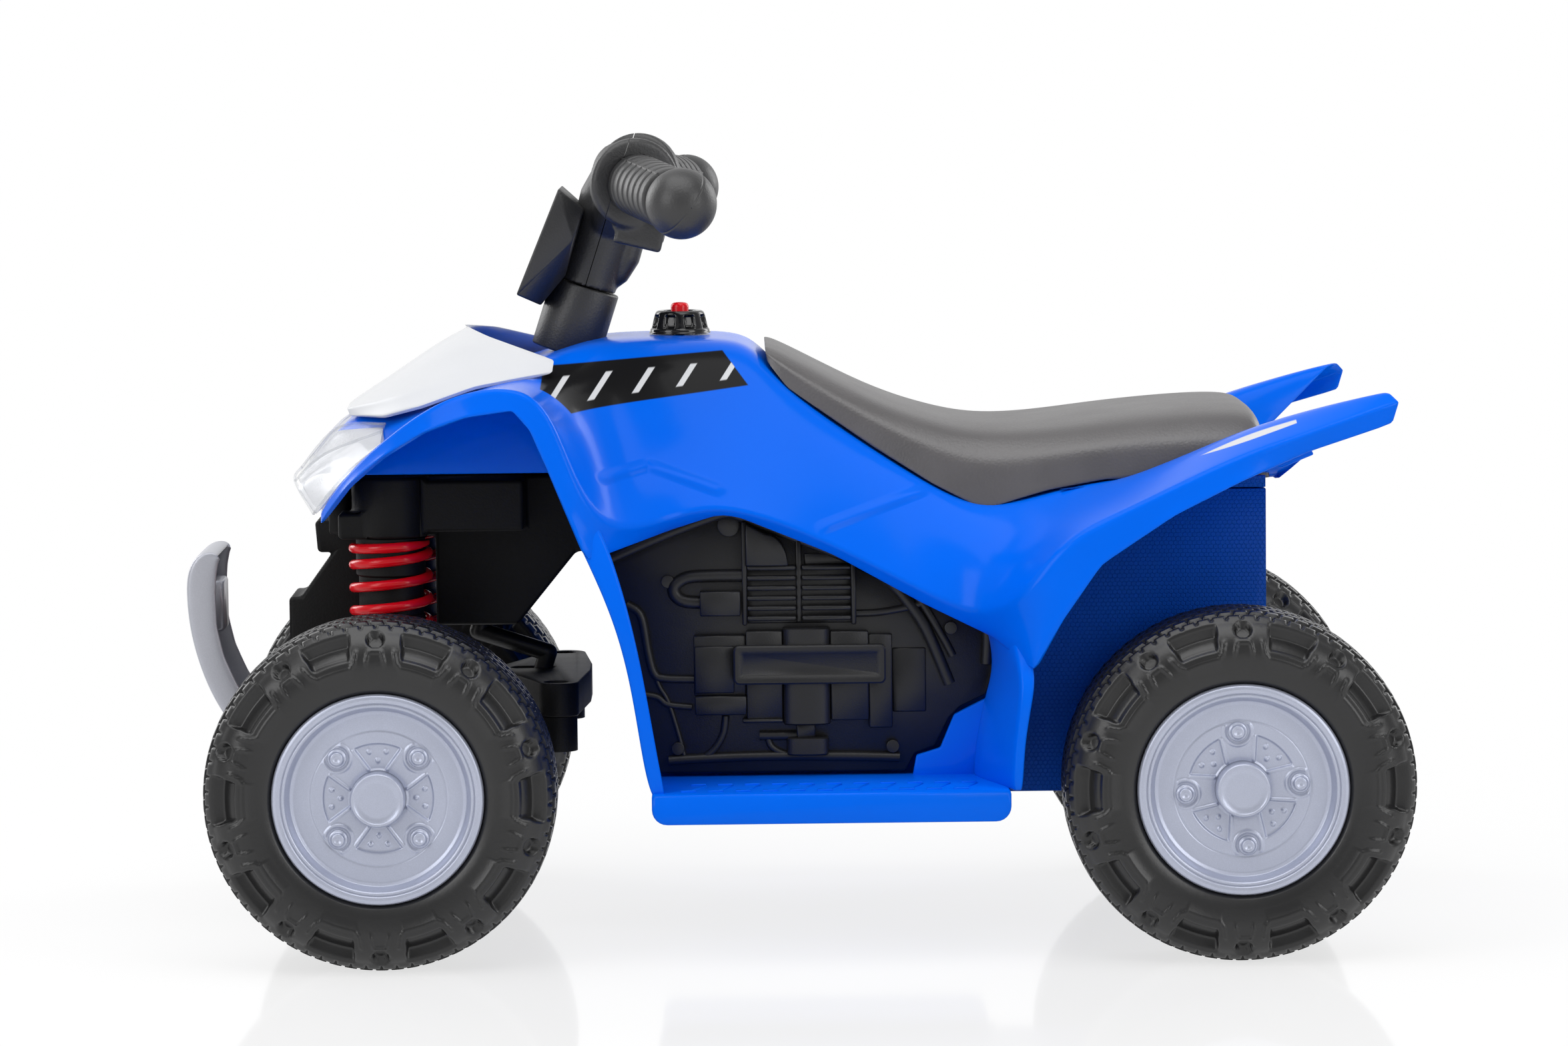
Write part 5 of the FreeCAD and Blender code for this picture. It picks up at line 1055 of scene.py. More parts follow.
def rails_across(tables, ridge):
    """Rails from the left edge over the ridge to the right edge."""
    left = [[shell_point(share, -1) for share in table] for table in tables]
    right = [[shell_point(share, 1) for share in table] for table in reversed(tables)]
    return left + [[shell_point(share) for share in ridge]] + right


def baked(mesh, *steps):
    """Mesh after modifiers; each step adds its modifiers to a scratch object."""
    scratch = bpy.data.objects.new("scratch", mesh)
    bpy.context.scene.collection.objects.link(scratch)
    for step in steps:
        step(scratch)
    graph = bpy.context.evaluated_depsgraph_get()
    made = bpy.data.meshes.new_from_object(scratch.evaluated_get(graph))
    bpy.data.objects.remove(scratch)
    return made


def merged(name, meshes):
    """One mesh from several."""
    bm = bmesh.new()
    for mesh in meshes:
        bm.from_mesh(mesh)
    made = bpy.data.meshes.new(name)
    bm.to_mesh(made)
    bm.free()
    return made


def skin_mesh(rails, wall, levels, creases=None, up=True, rim_crease=0.7):
    """Walled smooth skin through rails; its outer face looks up, or away from the middle."""
    bm = bmesh.new()
    net(bm, rails, crease_rows=creases)
    bmesh.ops.recalc_face_normals(bm, faces=bm.faces)
    look = sum((face.normal.z if up else face.normal.y * face.calc_center_median().y) * face.calc_area()
               for face in bm.faces)
    if look < 0:
        bmesh.ops.reverse_faces(bm, faces=bm.faces)
    mesh = bpy.data.meshes.new("skin")
    bm.to_mesh(mesh)
    bm.free()
    return baked(mesh, lambda made: add_wall(made, wall, rim_crease),
                 lambda made: add_subdivision(made, levels))


def plate_mesh(outline, low_y, high_y, width):
    """Flat plate with moulded edges, from a side outline of points."""
    bm = bmesh.new()
    rows = [[Vector((point.x, y, point.z)) for point in outline] for y in (low_y, high_y)]
    net(bm, rows, closed=True, cap=True)
    return baked(to_mesh(bm, "plate"), lambda made: add_edges(made, width))


class QUAD_OT_shell(Operator):
    """Shell with fenders, tank, leg walls and arch walls"""

    bl_idname = "quad.shell"
    bl_label = "Shell"

    def execute(self, context):
        sizes = context.scene.quad_sizes
        ridge = [(x, 0.0, z) for x, y, z in seam_shares]
        rails = rails_across([lip_shares, crest_shares, flank_shares, shoulder_shares, seam_shares], ridge)
        creases = {0: 0.9, 1: 0.62, 4: 0.35, 6: 0.35, 9: 0.62, 10: 0.9}
        meshes = [skin_mesh(rails, sizes.shell_wall, sizes.smoothing, creases)]
        leg_look = {"up": False, "rim_crease": 0.8}
        for side in (-1, 1):
            flange = list(zip(front_flange_shares, front_flange_width_shares))
            legs = [[shell_point((x, wide, z), side) for x, z in front_leg_shares]
                    for wide in front_leg_rail_shares]
            legs.append([shell_point((x, wide, z), side)
                         for (x, z), wide in zip(front_leg_shares, front_leg_width_shares)])
            for back in (0.0, flange_return_share):
                legs.append([shell_point((x, wide - back, z), side) for (x, z), wide in flange])
            meshes.append(skin_mesh(legs, sizes.shell_wall, sizes.smoothing, {2: 0.6, 3: 0.6}, **leg_look))
            legs = [[shell_point(share, side) for share in table]
                    for table in (rear_inner_shares, rear_fold_shares, rear_outer_shares, rear_lip_shares)]
            legs.append([shell_point((x, rear_return_share, z), side) for x, y, z in rear_lip_shares])
            creases = {1: 0.5, 2: 0.6, 3: 0.6}
            meshes.append(skin_mesh(legs, sizes.shell_wall, sizes.smoothing, creases, **leg_look))
            for table, (low, high) in ((corner_shares, CORNER_PLATE), (arch_wall_shares, ARCH_WALL),
                                       (fin_tab_shares, FIN_TAB)):
                outline = [side_point(share, 0) for share in table]
                meshes.append(plate_mesh(outline, side * low, side * high, sizes.fine_edge))
        skirt = [side_point(share, 0) for share in rear_skirt_shares]
        low, high = SKIRT
        skirts = [plate_mesh(skirt, side * low, side * high, sizes.fine_edge / 3) for side in (-1, 1)]
        piece("tub_skirts_moulded", merged("skirts", skirts), "chassis", "tub_blue")
        piece("shell_moulded", merged("shell", meshes), "chassis", "shell_blue",
              ["body_shell"], SKIN_SHARP)
        return {"FINISHED"}


class QUAD_OT_nose(Operator):
    """White cowl, clear lenses and reflectors"""

    bl_idname = "quad.nose"
    bl_label = "Nose"

    def execute(self, context):
        sizes = context.scene.quad_sizes
        rails = rails_across([cowl_edge_shares, cowl_band_shares, cowl_mid_shares], cowl_ridge_shares)
        creases = {0: 0.8, 1: 0.7, 2: 0.3, 4: 0.3, 5: 0.7, 6: 0.8}
        mesh = skin_mesh(rails, COWL_WALL, sizes.smoothing, creases)
        piece("cowl_moulded", mesh, "chassis", "cowl_white", ["front_cowl"], SKIN_SHARP)
        for name, side in SIDES.items():
            rails = [[shell_point(share, side) for share in table]
                     for table in (lens_low_shares, lens_mid_shares, lens_top_shares)]
            mesh = skin_mesh(rails, LENS_WALL, sizes.smoothing, {0: 0.8, 1: 0.5, 2: 0.8}, rim_crease=0.9)
            bm = bmesh.new()
            drop = Vector((0, 0, LENS_EDGE_DROP))
            for line in rails + [[rail[0] for rail in rails], [rail[-1] for rail in rails]]:
                curve = [Vector(point) - drop for point in smooth_line(line, steps=6)]
                tube(bm, curve, LENS_EDGE, sides=8)
            mesh = merged("lens", [mesh, to_mesh(bm, "lens_edges")])
            piece(f"lens_{name}_moulded", mesh, "chassis", "lens_clear",
                  [f"headlight_lens_{name}"], SKIN_SHARP)
        pans = []
        for side in (-1, 1):
            rails = [[shell_point(share, side) - Vector((0, 0, drop)) for share in table]
                     for table, drop in ((lens_low_shares, PAN_RIM_DROP), (lens_mid_shares, PAN_DEPTH),
                                         (lens_top_shares, PAN_RIM_DROP))]
            pans.append(skin_mesh(rails, PAN_WALL, sizes.smoothing, {0: 0.8, 1: 0.6, 2: 0.8}))
        piece("lamp_pans_moulded", merged("pans", pans), "chassis", "reflector",
              ["headlight_bowls"], SKIN_SHARP)
        return {"FINISHED"}


class QUAD_OT_seat(Operator):
    """Moulded saddle"""

    bl_idname = "quad.seat"
    bl_label = "Seat"

    def execute(self, context):
        sizes = context.scene.quad_sizes
        pan = [shell_point(share, -1) for share in seam_shares[SEAT_STATION:]]
        edge = [pan[0].lerp(pan[1], seat_front_share)] + pan[1:-1]
        edge.append(pan[-2].lerp(pan[-1], seat_rear_share))
        edge.append(edge[-1] + Vector((SEAT_TAIL, 0, 0)))
        tops = [FOOTREST_TOP + share * SHELL_RISE for share in seat_top_shares]
        tops.append(edge[-1].z + SEAT_TAIL_RISE)
        rails = []
        for width, height in seat_section_shares:
            rails.append([Vector((point.x, point.y * width, point.z + SEAT_GAP + (top - point.z) * height))
                          for point, top in zip(edge, tops)])
        right = [[Vector((p.x, -p.y, p.z)) for p in rail] for rail in reversed(rails[:-1])]
        creases = {0: 0.9, 1: 0.35, 2: 0.25, 6: 0.25, 7: 0.35, 8: 0.9}
        mesh = skin_mesh(rails + right, SEAT_WALL, sizes.smoothing, creases)
        piece("seat_moulded", mesh, "chassis", "seat_grain", ["seat"], SKIN_SHARP)
        return {"FINISHED"}


# Steering column: places along its axis, behind it and across
STEERING = next(joint for joint in frame["record"]["behaviour"]["joints"] if joint["name"] == "steering_turn")
COLUMN_UP = Vector(STEERING["axis"]).normalized()
COLUMN_BACK = Vector((COLUMN_UP.z, 0, -COLUMN_UP.x))
COLUMN_FOOT = Vector(STEERING["pos_m"])
pod_corner_shares = [(0.805, -1.71, 0.86), (0.15, -1.98, 1.0), (0.73, -0.76, 0.69), (0.545, -0.79, 0.92),
                     (0.33, -0.70, 0.56), (0.125, -1.16, 0.61)]
button_profile_shares = [(0.02, 0.0), (0.5, 0.0), (0.5, 0.455), (1.0, 0.455), (1.0, 0.88), (0.97, 0.925),
                         (0.88, 0.96), (0.7, 0.985), (0.4, 0.997), (0.02, 1.0)]
web_shares = [(0.32, 0.55), (0.42, 0.82), (0.53, 0.93), (0.63, 0.93)]
web_radius_shares = [0.28, 0.42, 0.48, 0.46]
head_radius_shares = [0.97, 0.95, 0.97, 1.05, 0.9]
collar_radius_shares = [0.9, 0.99, 1.0, 0.93]
arm_radius_shares = [1.12, 1.0, 1.0]
haunch_radius_shares = [0.75, 0.8]
haunch_share = 0.55
head_places = [28.5 * MM, 34 * MM, 55 * MM, 78 * MM]
HEAD_TOP_GAP = 4 * MM
HAUNCH_FOOT = 56 * MM
collar_places = [-4.6 * MM, -3.2 * MM, 2.6 * MM, 4.4 * MM]
SWITCH_ROOT = 8 * MM
SWITCH_TILT = 14.0
# Switch blocks under each collar: reach, fall and edge lengths
switch_blocks = [(-1 * MM, 17 * MM, (14 * MM, 15 * MM, 20 * MM)),
                 (5 * MM, 28 * MM, (26 * MM, 17 * MM, 15 * MM))]
# Grips: ribs, seams along them and ball ends
GRIP_START = 4.8 * MM
RIB_ROUND = 0.4 * MM
SEAM_HEIGHT = 0.35 * MM
BALL_SEAM_DEPTH = 0.55 * MM
TIP_RADIUS = 0.2 * MM
BORE_RADIUS = 0.5 * MM
BALL_START = -52.0
BALL_STEPS = 32
seam_edge = (0.35 * MM, 0.9 * MM)
ball_seam_edge = (0.2 * MM, 0.6 * MM)
ball_seam_end = (1 * MM, 4 * MM)
seam_angles = (0.35, 1.15, math.pi + 0.35, math.pi + 1.15)
ball_overlap_share = 0.86
# One rib: places along its pitch in the groove, on the rounded edges and on the top
rib_groove_shares = (0.04, 0.12)
rib_round_shares = (0.15, 0.93)
rib_top_shares = (0.22, 0.45, 0.70, 0.86)
rib_end_share = 0.96
# Pod and knob
POD_HALF_WIDTH = 36 * MM
POD_FACET = 8.0
CAP_RADIUS = 16.3 * MM
CAP_FLUTES = 8
FLUTE_DEPTH = 2.4 * MM
flute_edge = (2.2 * MM, 3.3 * MM)
flute_start_shares = (0.22, 0.34)
flute_end_shares = (0.72, 0.86)
flute_inner_share = 0.6
cap_profile_shares = [
    (0.30, 0.0), (0.985, 0.0), (1.0, 0.10), (0.985, 0.19), (0.945, 0.26), (0.90, 0.52), (0.85, 0.78),
    (0.815, 0.90), (0.77, 0.965), (0.70, 1.0), (0.56, 0.985), (0.52, 0.94), (0.34, 0.93), (0.31, 0.90),
    (0.31, 0.2)]


def column_place(up, back=0.0, across=0.0):
    """Place in the steering column's axes."""
    return COLUMN_FOOT + COLUMN_UP * up + COLUMN_BACK * back + Vector((0, across, 0))


def bar_places(bar, side):
    """Collar and ball centres of one side."""
    hub = column_place(bar.height)
    return (hub + Vector((bar.collar_sweep, side * bar.collar_y, -bar.collar_fall)),
            hub + Vector((bar.ball_sweep, side * bar.ball_y, -bar.ball_fall)))


def handlebar_mesh(bar):
    """Head, bar, collars and switch blocks, melted into one moulding."""
    bm = bmesh.new()
    hub = column_place(bar.height)
    head = [column_place(up) for up in head_places + [bar.height - HEAD_TOP_GAP]]
    tube(bm, head, [bar.head_radius * share for share in head_radius_shares], sides=40)
    web = [column_place(up * bar.height, back * bar.head_radius) for up, back in web_shares]
    tube(bm, web, [bar.head_radius * share for share in web_radius_shares], sides=24)
    for side in (-1, 1):
        collar, ball = bar_places(bar, side)
        way = (ball - collar).normalized()
        arm = [hub, hub.lerp(collar, 0.5), collar]
        tube(bm, arm, [bar.bar_radius * share for share in arm_radius_shares], sides=32)
        haunch = [column_place(HAUNCH_FOOT), hub.lerp(collar, haunch_share)]
        tube(bm, haunch, [bar.bar_radius * share for share in haunch_radius_shares], sides=24)
        rim = [collar + way * step for step in collar_places]
        tube(bm, rim, [bar.collar_radius * share for share in collar_radius_shares], sides=48)
        root = collar - way * SWITCH_ROOT
        for reach, fall, size in switch_blocks:
            spot = Matrix.Translation(root + Vector((reach, 0, -fall)))
            turned = spot @ Matrix.Rotation(math.radians(SWITCH_TILT), 4, "Y")
            bmesh.ops.create_cube(bm, size=1.0, matrix=turned @ Matrix.Diagonal((*size, 1)))
    return baked(to_mesh(bm, "bar"), lambda made: add_blend(made, bar.voxel, rounds=7))


def grip_mesh(bar):
    """Ribbed grip about Y from its collar, with a seamed ball end."""
    collar, ball = bar_places(bar, -1)
    reach = (ball - collar).length - GRIP_START
    low, high = bar.grip_radius, bar.grip_radius + bar.rib_height
    pitch = (reach - bar.ball_radius * ball_overlap_share) / bar.ribs
    rise, fall = rib_round_shares
    rib = [(low, share) for share in rib_groove_shares] + [(high - RIB_ROUND, rise)]
    rib += [(high, share) for share in rib_top_shares] + [(high - RIB_ROUND, fall), (low, rib_end_share)]
    profile = [(BORE_RADIUS, 0.0), (low, 0.0)]
    for index in range(bar.ribs):
        profile += [(radius, (index + share) * pitch) for radius, share in rib]
    for step in range(BALL_STEPS + 1):
        angle = math.radians(BALL_START + (90 - BALL_START) * step / BALL_STEPS)
        radius = max(TIP_RADIUS, bar.ball_radius * math.cos(angle))
        profile.append((radius, reach + bar.ball_radius * math.sin(angle)))
    ribbed = bar.ribs * pitch

    def turn(radius, y, angle):
        if y < ribbed and radius > 1 * MM:
            for line in seam_angles:
                gap = abs((angle - line + math.pi) % (2 * math.pi) - math.pi) * radius
                radius += max(0.0, high + SEAM_HEIGHT - radius) * fade(gap, *seam_edge)
        elif y > ribbed + 1 * MM:
            gap = abs((angle + math.pi / 2) % math.pi - math.pi / 2) * radius
            radius -= BALL_SEAM_DEPTH * fade(gap, *ball_seam_edge) * step_between(radius, *ball_seam_end)
        return radius, y

    return to_mesh(lathe(profile, steps=220, turn=turn), "grip")


def pod_mesh(bar, edge):
    """Faceted pod ahead of the head."""
    bm = bmesh.new()
    for up, back, across in pod_corner_shares:
        for side in (-POD_HALF_WIDTH, POD_HALF_WIDTH):
            bm.verts.new(column_place(up * bar.height, back * bar.head_radius, side * across))
    bmesh.ops.convex_hull(bm, input=bm.verts)
    return baked(to_mesh(bm, "pod"), lambda made: add_edges(made, edge, POD_FACET))


def stand_on(mesh, low, high):
    """Turn a mesh of revolution upright and set it on the middle of a box's floor."""
    centre = (low + high) / 2
    mesh.transform(Matrix.Translation((*centre.xy, low.z)) @ Matrix.Rotation(math.pi / 2, 4, "X"))


def cap_mesh():
    """Fluted knob about Z, from its frame node's box."""
    low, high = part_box("fuel_cap")
    height = high.z - low.z

    def turn(r, h, angle):
        if r <= flute_inner_share * CAP_RADIUS:
            return r, h
        depth = step_between(h / height, *flute_start_shares) * fade(h / height, *flute_end_shares)
        flute = abs((angle * CAP_FLUTES / (2 * math.pi)) % 1.0 - 0.5) * 2 * math.pi / CAP_FLUTES * r
        return r - FLUTE_DEPTH * depth * fade(flute, *flute_edge), h

    line = smooth_line([(r * CAP_RADIUS, h * height) for r, h in cap_profile_shares], steps=4)
    mesh = to_mesh(lathe(line, steps=240, turn=turn), "cap")
    stand_on(mesh, low, high)
    return mesh


def button_mesh():
    """Domed push button with its stem, from its frame node's box."""
    low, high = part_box("go_button")
    radius, height = (high.x - low.x) / 2, high.z - low.z
    mesh = to_mesh(lathe([(r * radius, h * height) for r, h in button_profile_shares], steps=64), "button")
    stand_on(mesh, low, high)
    return mesh


class QUAD_OT_steering(Operator):
    """Handlebar halves, grips, pod and the knob on the tank"""

    bl_idname = "quad.steering"
    bl_label = "Steering"

    def execute(self, context):
        bar = context.scene.quad_bar
        sizes = context.scene.quad_sizes
        front, rear = halves(handlebar_mesh(bar), column_place(0), COLUMN_BACK)
        for name, mesh in (("front", front), ("rear", rear)):
            piece(f"bar_{name}_moulded", mesh, "steering", "bar_black",
                  [f"handlebar_{name}_half"], sharp=50)
        for name, side in SIDES.items():
            mesh = grip_mesh(bar)
            collar, ball = bar_places(bar, side)
            way = (ball - collar).normalized()
            turn = Vector((0, 1, 0)).rotation_difference(way).to_matrix().to_4x4()
            mesh.transform(Matrix.Translation(collar + way * GRIP_START) @ turn)
            piece(f"grip_{name}_moulded", mesh, "steering", "bar_black",
                  [f"grip_{name}"], sharp=50)
        piece("pod_moulded", pod_mesh(bar, sizes.fine_edge), "steering", "bar_black",
              ["visor_pod"], sharp=30)
        piece("cap_moulded", cap_mesh(), "chassis", "knob_black", ["fuel_cap"], sharp=50)
        piece("button_moulded", button_mesh(), "drive_button", "button_red",
              ["go_button"], sharp=50)
        return {"FINISHED"}


# Springs: turns of red wire round each strut; shares of the wire, and of the strut's height and radius
COIL_WIRE = 2.7 * MM
COIL_GAP = 0.1 * MM
COIL_TURNS = 6
COIL_STEPS = 40
COIL_SHARP = 60.0
STRUT_INSET = 4.2 * MM
STRUT_OVERLAP = 2 * MM
closed_turn_share = 2.1
coil_tip_share = 0.45
coil_tip_step_share = 0.08
strut_shares = [
    (0.0, 1.0), (0.05, 1.0), (0.065, 0.93), (0.36, 0.93), (0.37, 0.97), (0.42, 0.97), (0.43, 0.93),
    (0.70, 0.93), (0.715, 1.0), (1.0, 1.0)]


def spring_mesh(side):
    """Open turns and a closed turn at the top, within the frame coil's box."""
    low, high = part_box(f"spring_{side}")
    centre = (low + high) / 2
    coil = (high.x - low.x) / 2 - COIL_WIRE - COIL_GAP
    closed = closed_turn_share * COIL_WIRE
    pitch = (high.z - low.z - 2 * COIL_WIRE - closed) / (COIL_TURNS - 1)
    last = COIL_TURNS * COIL_STEPS
    points, radii = [], []
    for step in range(last + 1):
        turn = step / COIL_STEPS
        rise = pitch * min(turn, COIL_TURNS - 1) + closed * max(0.0, turn - COIL_TURNS + 1)
        angle = 2 * math.pi * turn
        points.append((centre.x + coil * math.cos(angle), centre.y + coil * math.sin(angle),
                       low.z + COIL_WIRE + rise))
        radii.append(COIL_WIRE * min(1.0, coil_tip_share + coil_tip_step_share * min(step, last - step)))
    bm = bmesh.new()
    tube(bm, points, radii, sides=16)
    return to_mesh(bm, "spring")


class QUAD_OT_springs(Operator):
    """Red coils round the struts"""

    bl_idname = "quad.springs"
    bl_label = "Springs"

    def execute(self, context):
        for side in SIDES:
            low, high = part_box(f"spring_{side}")
            centre, radius = (low + high) / 2, (high.x - low.x) / 2 - STRUT_INSET
            tall = high.z + STRUT_OVERLAP - low.z
            bm = bmesh.new()
            places = [(centre.x, centre.y, low.z + share * tall) for share, wide in strut_shares]
            tube(bm, places, [radius * wide for share, wide in strut_shares], sides=64)
            piece(f"strut_{side}_moulded", to_mesh(bm, "strut"), "chassis", "grained_black")
            piece(f"coil_{side}_moulded", spring_mesh(side), "chassis", "button_red",
                  [f"spring_{side}"], COIL_SHARP)
        return {"FINISHED"}


# Side panels: shares of the wheelbase and of the rise over the footrest; heights and radii of PANEL_RELIEF
panel_outline_shares = [
    (0.315, 0.003), (0.310, 0.04), (0.296, 0.245), (0.276, 0.385), (0.254, 0.50), (0.27, 0.535),
    (0.34, 0.585), (0.405, 0.618), (0.53, 0.505), (0.635, 0.405), (0.70, 0.365), (0.717, 0.30),
    (0.722, 0.235), (0.71, 0.178), (0.68, 0.15), (0.667, 0.125), (0.65, 0.06), (0.626, 0.043),
    (0.615, 0.003)]
panel_rim_shares = [
    (0.268, 0.505), (0.335, 0.560), (0.392, 0.601), (0.405, 0.606), (0.42, 0.601), (0.515, 0.527),
    (0.61, 0.452), (0.680, 0.392), (0.703, 0.366), (0.713, 0.325), (0.712, 0.25)]
panel_box_shares = [
    (0.428, 0.555, 0.350, 0.485, 0.16), (0.497, 0.552, 0.485, 0.512, 0.16),
    (0.552, 0.558, 0.347, 0.488, 0.52), (0.423, 0.429, 0.347, 0.588, 0.5),
    (0.487, 0.494, 0.352, 0.545, 0.34), (0.373, 0.421, 0.370, 0.428, 0.7),
    (0.365, 0.427, 0.183, 0.324, 0.36), (0.366, 0.413, 0.190, 0.300, 0.54),
    (0.366, 0.427, 0.139, 0.184, 0.58), (0.427, 0.470, 0.126, 0.334, 0.5),
    (0.527, 0.572, 0.124, 0.332, 0.5), (0.572, 0.600, 0.105, 0.324, 0.4),
    (0.422, 0.470, 0.120, 0.130, 0.64), (0.600, 0.640, 0.140, 0.290, 0.1),
    (0.486, 0.508, 0.082, 0.122, 0.46)]
panel_drum_shares = [(0.470, 0.527, 0.115, 0.341, 0.9), (0.474, 0.524, 0.043, 0.085, 0.7)]
fin_span_shares = [(0.429, 0.487), (0.494, 0.552)]
fin_row_shares = [0.357, 0.3805, 0.404, 0.4275, 0.451, 0.4745]
fin_height_share = 0.0115
fin_relief_share = 0.52
fan_shares = [(0.4275, 0.485), (0.4275, 0.585), (0.452, 0.560)]
fan_round_shares = (0.026, 0.075)
fan_relief_share = 0.64
frame_box_shares = [(0.412, 0.212), (0.592, 0.302)]
# Rows of the frame from its foot inwards: inset, height and corner radius
frame_row_shares = [
    (0.0, 0.4, 0.3), (0.0, 1.02, 0.3), (0.09, 1.1, 0.24), (0.4, 1.1, 0.14), (0.46, 0.98, 0.12)]
disc_share = (0.408, 0.579)
drum_round = 0.55
DRUM_EDGE = 0.8 * MM
PANEL_RELIEF = 10 * MM
PANEL_FACE = 101 * MM
PANEL_BACK = 98 * MM
PANEL_RIM = 3 * MM
RIM_LIFT = 0.6 * MM
HOSE_LIFT = 0.5 * MM
RELIEF_ROOT = 1 * MM
# Disc at the top of the panel: rise and radius of its rows
disc_rows = [(0.0, 6 * MM), (1.0 * MM, 6 * MM), (1.4 * MM, 5.4 * MM)]
panel_hose_shares = [
    
    (0.35, [(0.424, 0.462), (0.385, 0.462), (0.358, 0.458), (0.344, 0.440), (0.344, 0.418), (0.356, 0.403),
           (0.380, 0.400)]),
    (0.2, [(0.556, 0.371), (0.585, 0.373), (0.619, 0.384), (0.650, 0.402)]),
    (0.32, [(0.588, 0.462), (0.610, 0.420), (0.640, 0.335), (0.668, 0.205)]),
    (0.22, [(0.604, 0.462), (0.632, 0.405), (0.660, 0.315), (0.672, 0.270)]),
    (0.26, [(0.334, 0.032), (0.37, 0.036), (0.45, 0.040), (0.55, 0.038), (0.608, 0.034)]),
    (0.2, [(0.402, 0.135), (0.399, 0.095), (0.390, 0.062), (0.378, 0.040)]),
    (0.26, [(0.442, 0.088), (0.486, 0.088)]),
    (0.18, [(0.452, 0.080), (0.456, 0.062), (0.467, 0.048), (0.480, 0.041)])]
left_hose_shares = [
    
    (0.22, [(0.286, 0.399), (0.303, 0.370), (0.311, 0.285), (0.318, 0.236), (0.330, 0.224), (0.366, 0.221)]),
    (0.17, [(0.306, 0.187), (0.322, 0.180), (0.334, 0.163), (0.362, 0.156)]),
    (0.12, [(0.318, 0.240), (0.324, 0.205), (0.334, 0.170), (0.345, 0.10), (0.352, 0.045)])]


def relief_block(bm, shares, side):
    """Raised block of the panel."""
    x0, x1, z0, z1, height = shares
    a = side_point((x0, z0), side * (PANEL_FACE - RELIEF_ROOT))
    b = side_point((x1, z1), side * (PANEL_FACE + height * PANEL_RELIEF))
    block(bm, [min(p, q) for p, q in zip(a, b)], [max(p, q) for p, q in zip(a, b)])


def panel_drum(shares, side):
    """Upright drum of the relief, round across."""
    x0, x1, z0, z1, height = shares
    low, high = side_point((x0, z0), 0), side_point((x1, z1), 0)
    centre, half = (low.x + high.x) / 2, (high.x - low.x) / 2
    rows = []
    edge = DRUM_EDGE
    for inset, z in ((edge, low.z), (0.0, low.z + edge), (0.0, high.z - edge), (edge, high.z)):
        row = []
        for step in range(ROUND_STEPS + 1):
            angle = math.pi * step / ROUND_STEPS
            out = (height * PANEL_RELIEF - inset) * math.sin(angle) ** drum_round
            row.append(Vector((centre - (half - inset) * math.cos(angle), side * (PANEL_FACE + out), z)))
        rows.append(row)
    bm = bmesh.new()
    net(bm, rows, closed=True, cap=True)
    return to_mesh(bm, "drum")


def fan_mesh(side, edge):
    """Quarter-round cover over the upper fins."""
    points = [side_point(share, 0) for share in fan_shares]
    wide, tall = fan_round_shares
    centre_x, centre_z = fan_shares[-1][0], fan_shares[0][1]
    for step in range(1, ROUND_STEPS // 2 + 1):
        angle = math.pi * step / ROUND_STEPS
        points.append(side_point((centre_x + wide * math.sin(angle), centre_z + tall * math.cos(angle)), 0))
    high = PANEL_FACE + fan_relief_share * PANEL_RELIEF
    return plate_mesh(points, side * (PANEL_FACE - RELIEF_ROOT), side * high, edge)


def frame_mesh(side):
    """Bare oblong frame with rounded corners and a sunk field."""
    low, high = [side_point(share, 0) for share in frame_box_shares]
    rows = []
    for shares in frame_row_shares:
        inset, height, corner = [share * PANEL_RELIEF for share in shares]
        row = []
        for index, (cx, cz) in enumerate(((1, 1), (-1, 1), (-1, -1), (1, -1))):
            x = (high.x if cx > 0 else low.x) - cx * (inset + corner)
            z = (high.z if cz > 0 else low.z) - cz * (inset + corner)
            for step in range(CORNER_STEPS + 1):
                angle = math.pi / 2 * (index + step / CORNER_STEPS)
                row.append(Vector((x + corner * math.cos(angle), side * (PANEL_FACE + height),
                                   z + corner * math.sin(angle))))
        rows.append(row)
    bm = bmesh.new()
    net(bm, rows, closed=True, cap=True)
    return to_mesh(bm, "frame")


# Openings of the right panel: room round the rocker, and the socket's flange outside the hole
SWITCH_ROOM = Vector((1.6, 4.0, 0.6)) * MM
SOCKET_FLANGE = 1.6 * MM


def panel_mesh(side, sizes):
    """Side panel with its rim, fins, pipes, blocks and bare frame."""
    outline = [side_point(share, 0) for share in panel_outline_shares]
    plate = plate_mesh(outline, side * PANEL_BACK, side * PANEL_FACE, sizes.fine_edge)
    if side == SIDES["right"]:
        plate = baked(plate, add_openings)
    bm = bmesh.new()
    for shares in panel_box_shares:
        relief_block(bm, shares, side)
    for start, end in fin_span_shares:
        for row in fin_row_shares:
            relief_block(bm, (start, end, row, row + fin_height_share, fin_relief_share), side)
    blocks = baked(to_mesh(bm, "blocks"), lambda made: add_edges(made, sizes.fine_edge))
    bm = bmesh.new()
    tube(bm, [side_point(disc_share, side * (PANEL_FACE + rise)) for rise, radius in disc_rows],
         [radius for rise, radius in disc_rows], sides=40)
    rim = smooth_line(panel_rim_shares, steps=6)
    tube(bm, [side_point(share, side * (PANEL_FACE + RIM_LIFT)) for share in rim], PANEL_RIM, sides=14)
    for radius, run in panel_hose_shares + (left_hose_shares if side == SIDES["left"] else []):
        line = smooth_line(run, steps=8) if len(run) > 2 else run
        hose = [side_point(share, side * (PANEL_FACE + HOSE_LIFT)) for share in line]
        tube(bm, hose, radius * PANEL_RELIEF, sides=14)
    parts = [plate, blocks, to_mesh(bm, "hoses"), fan_mesh(side, sizes.fine_edge), frame_mesh(side)]
    parts += [panel_drum(shares, side) for shares in panel_drum_shares]
    return merged("panel", parts)


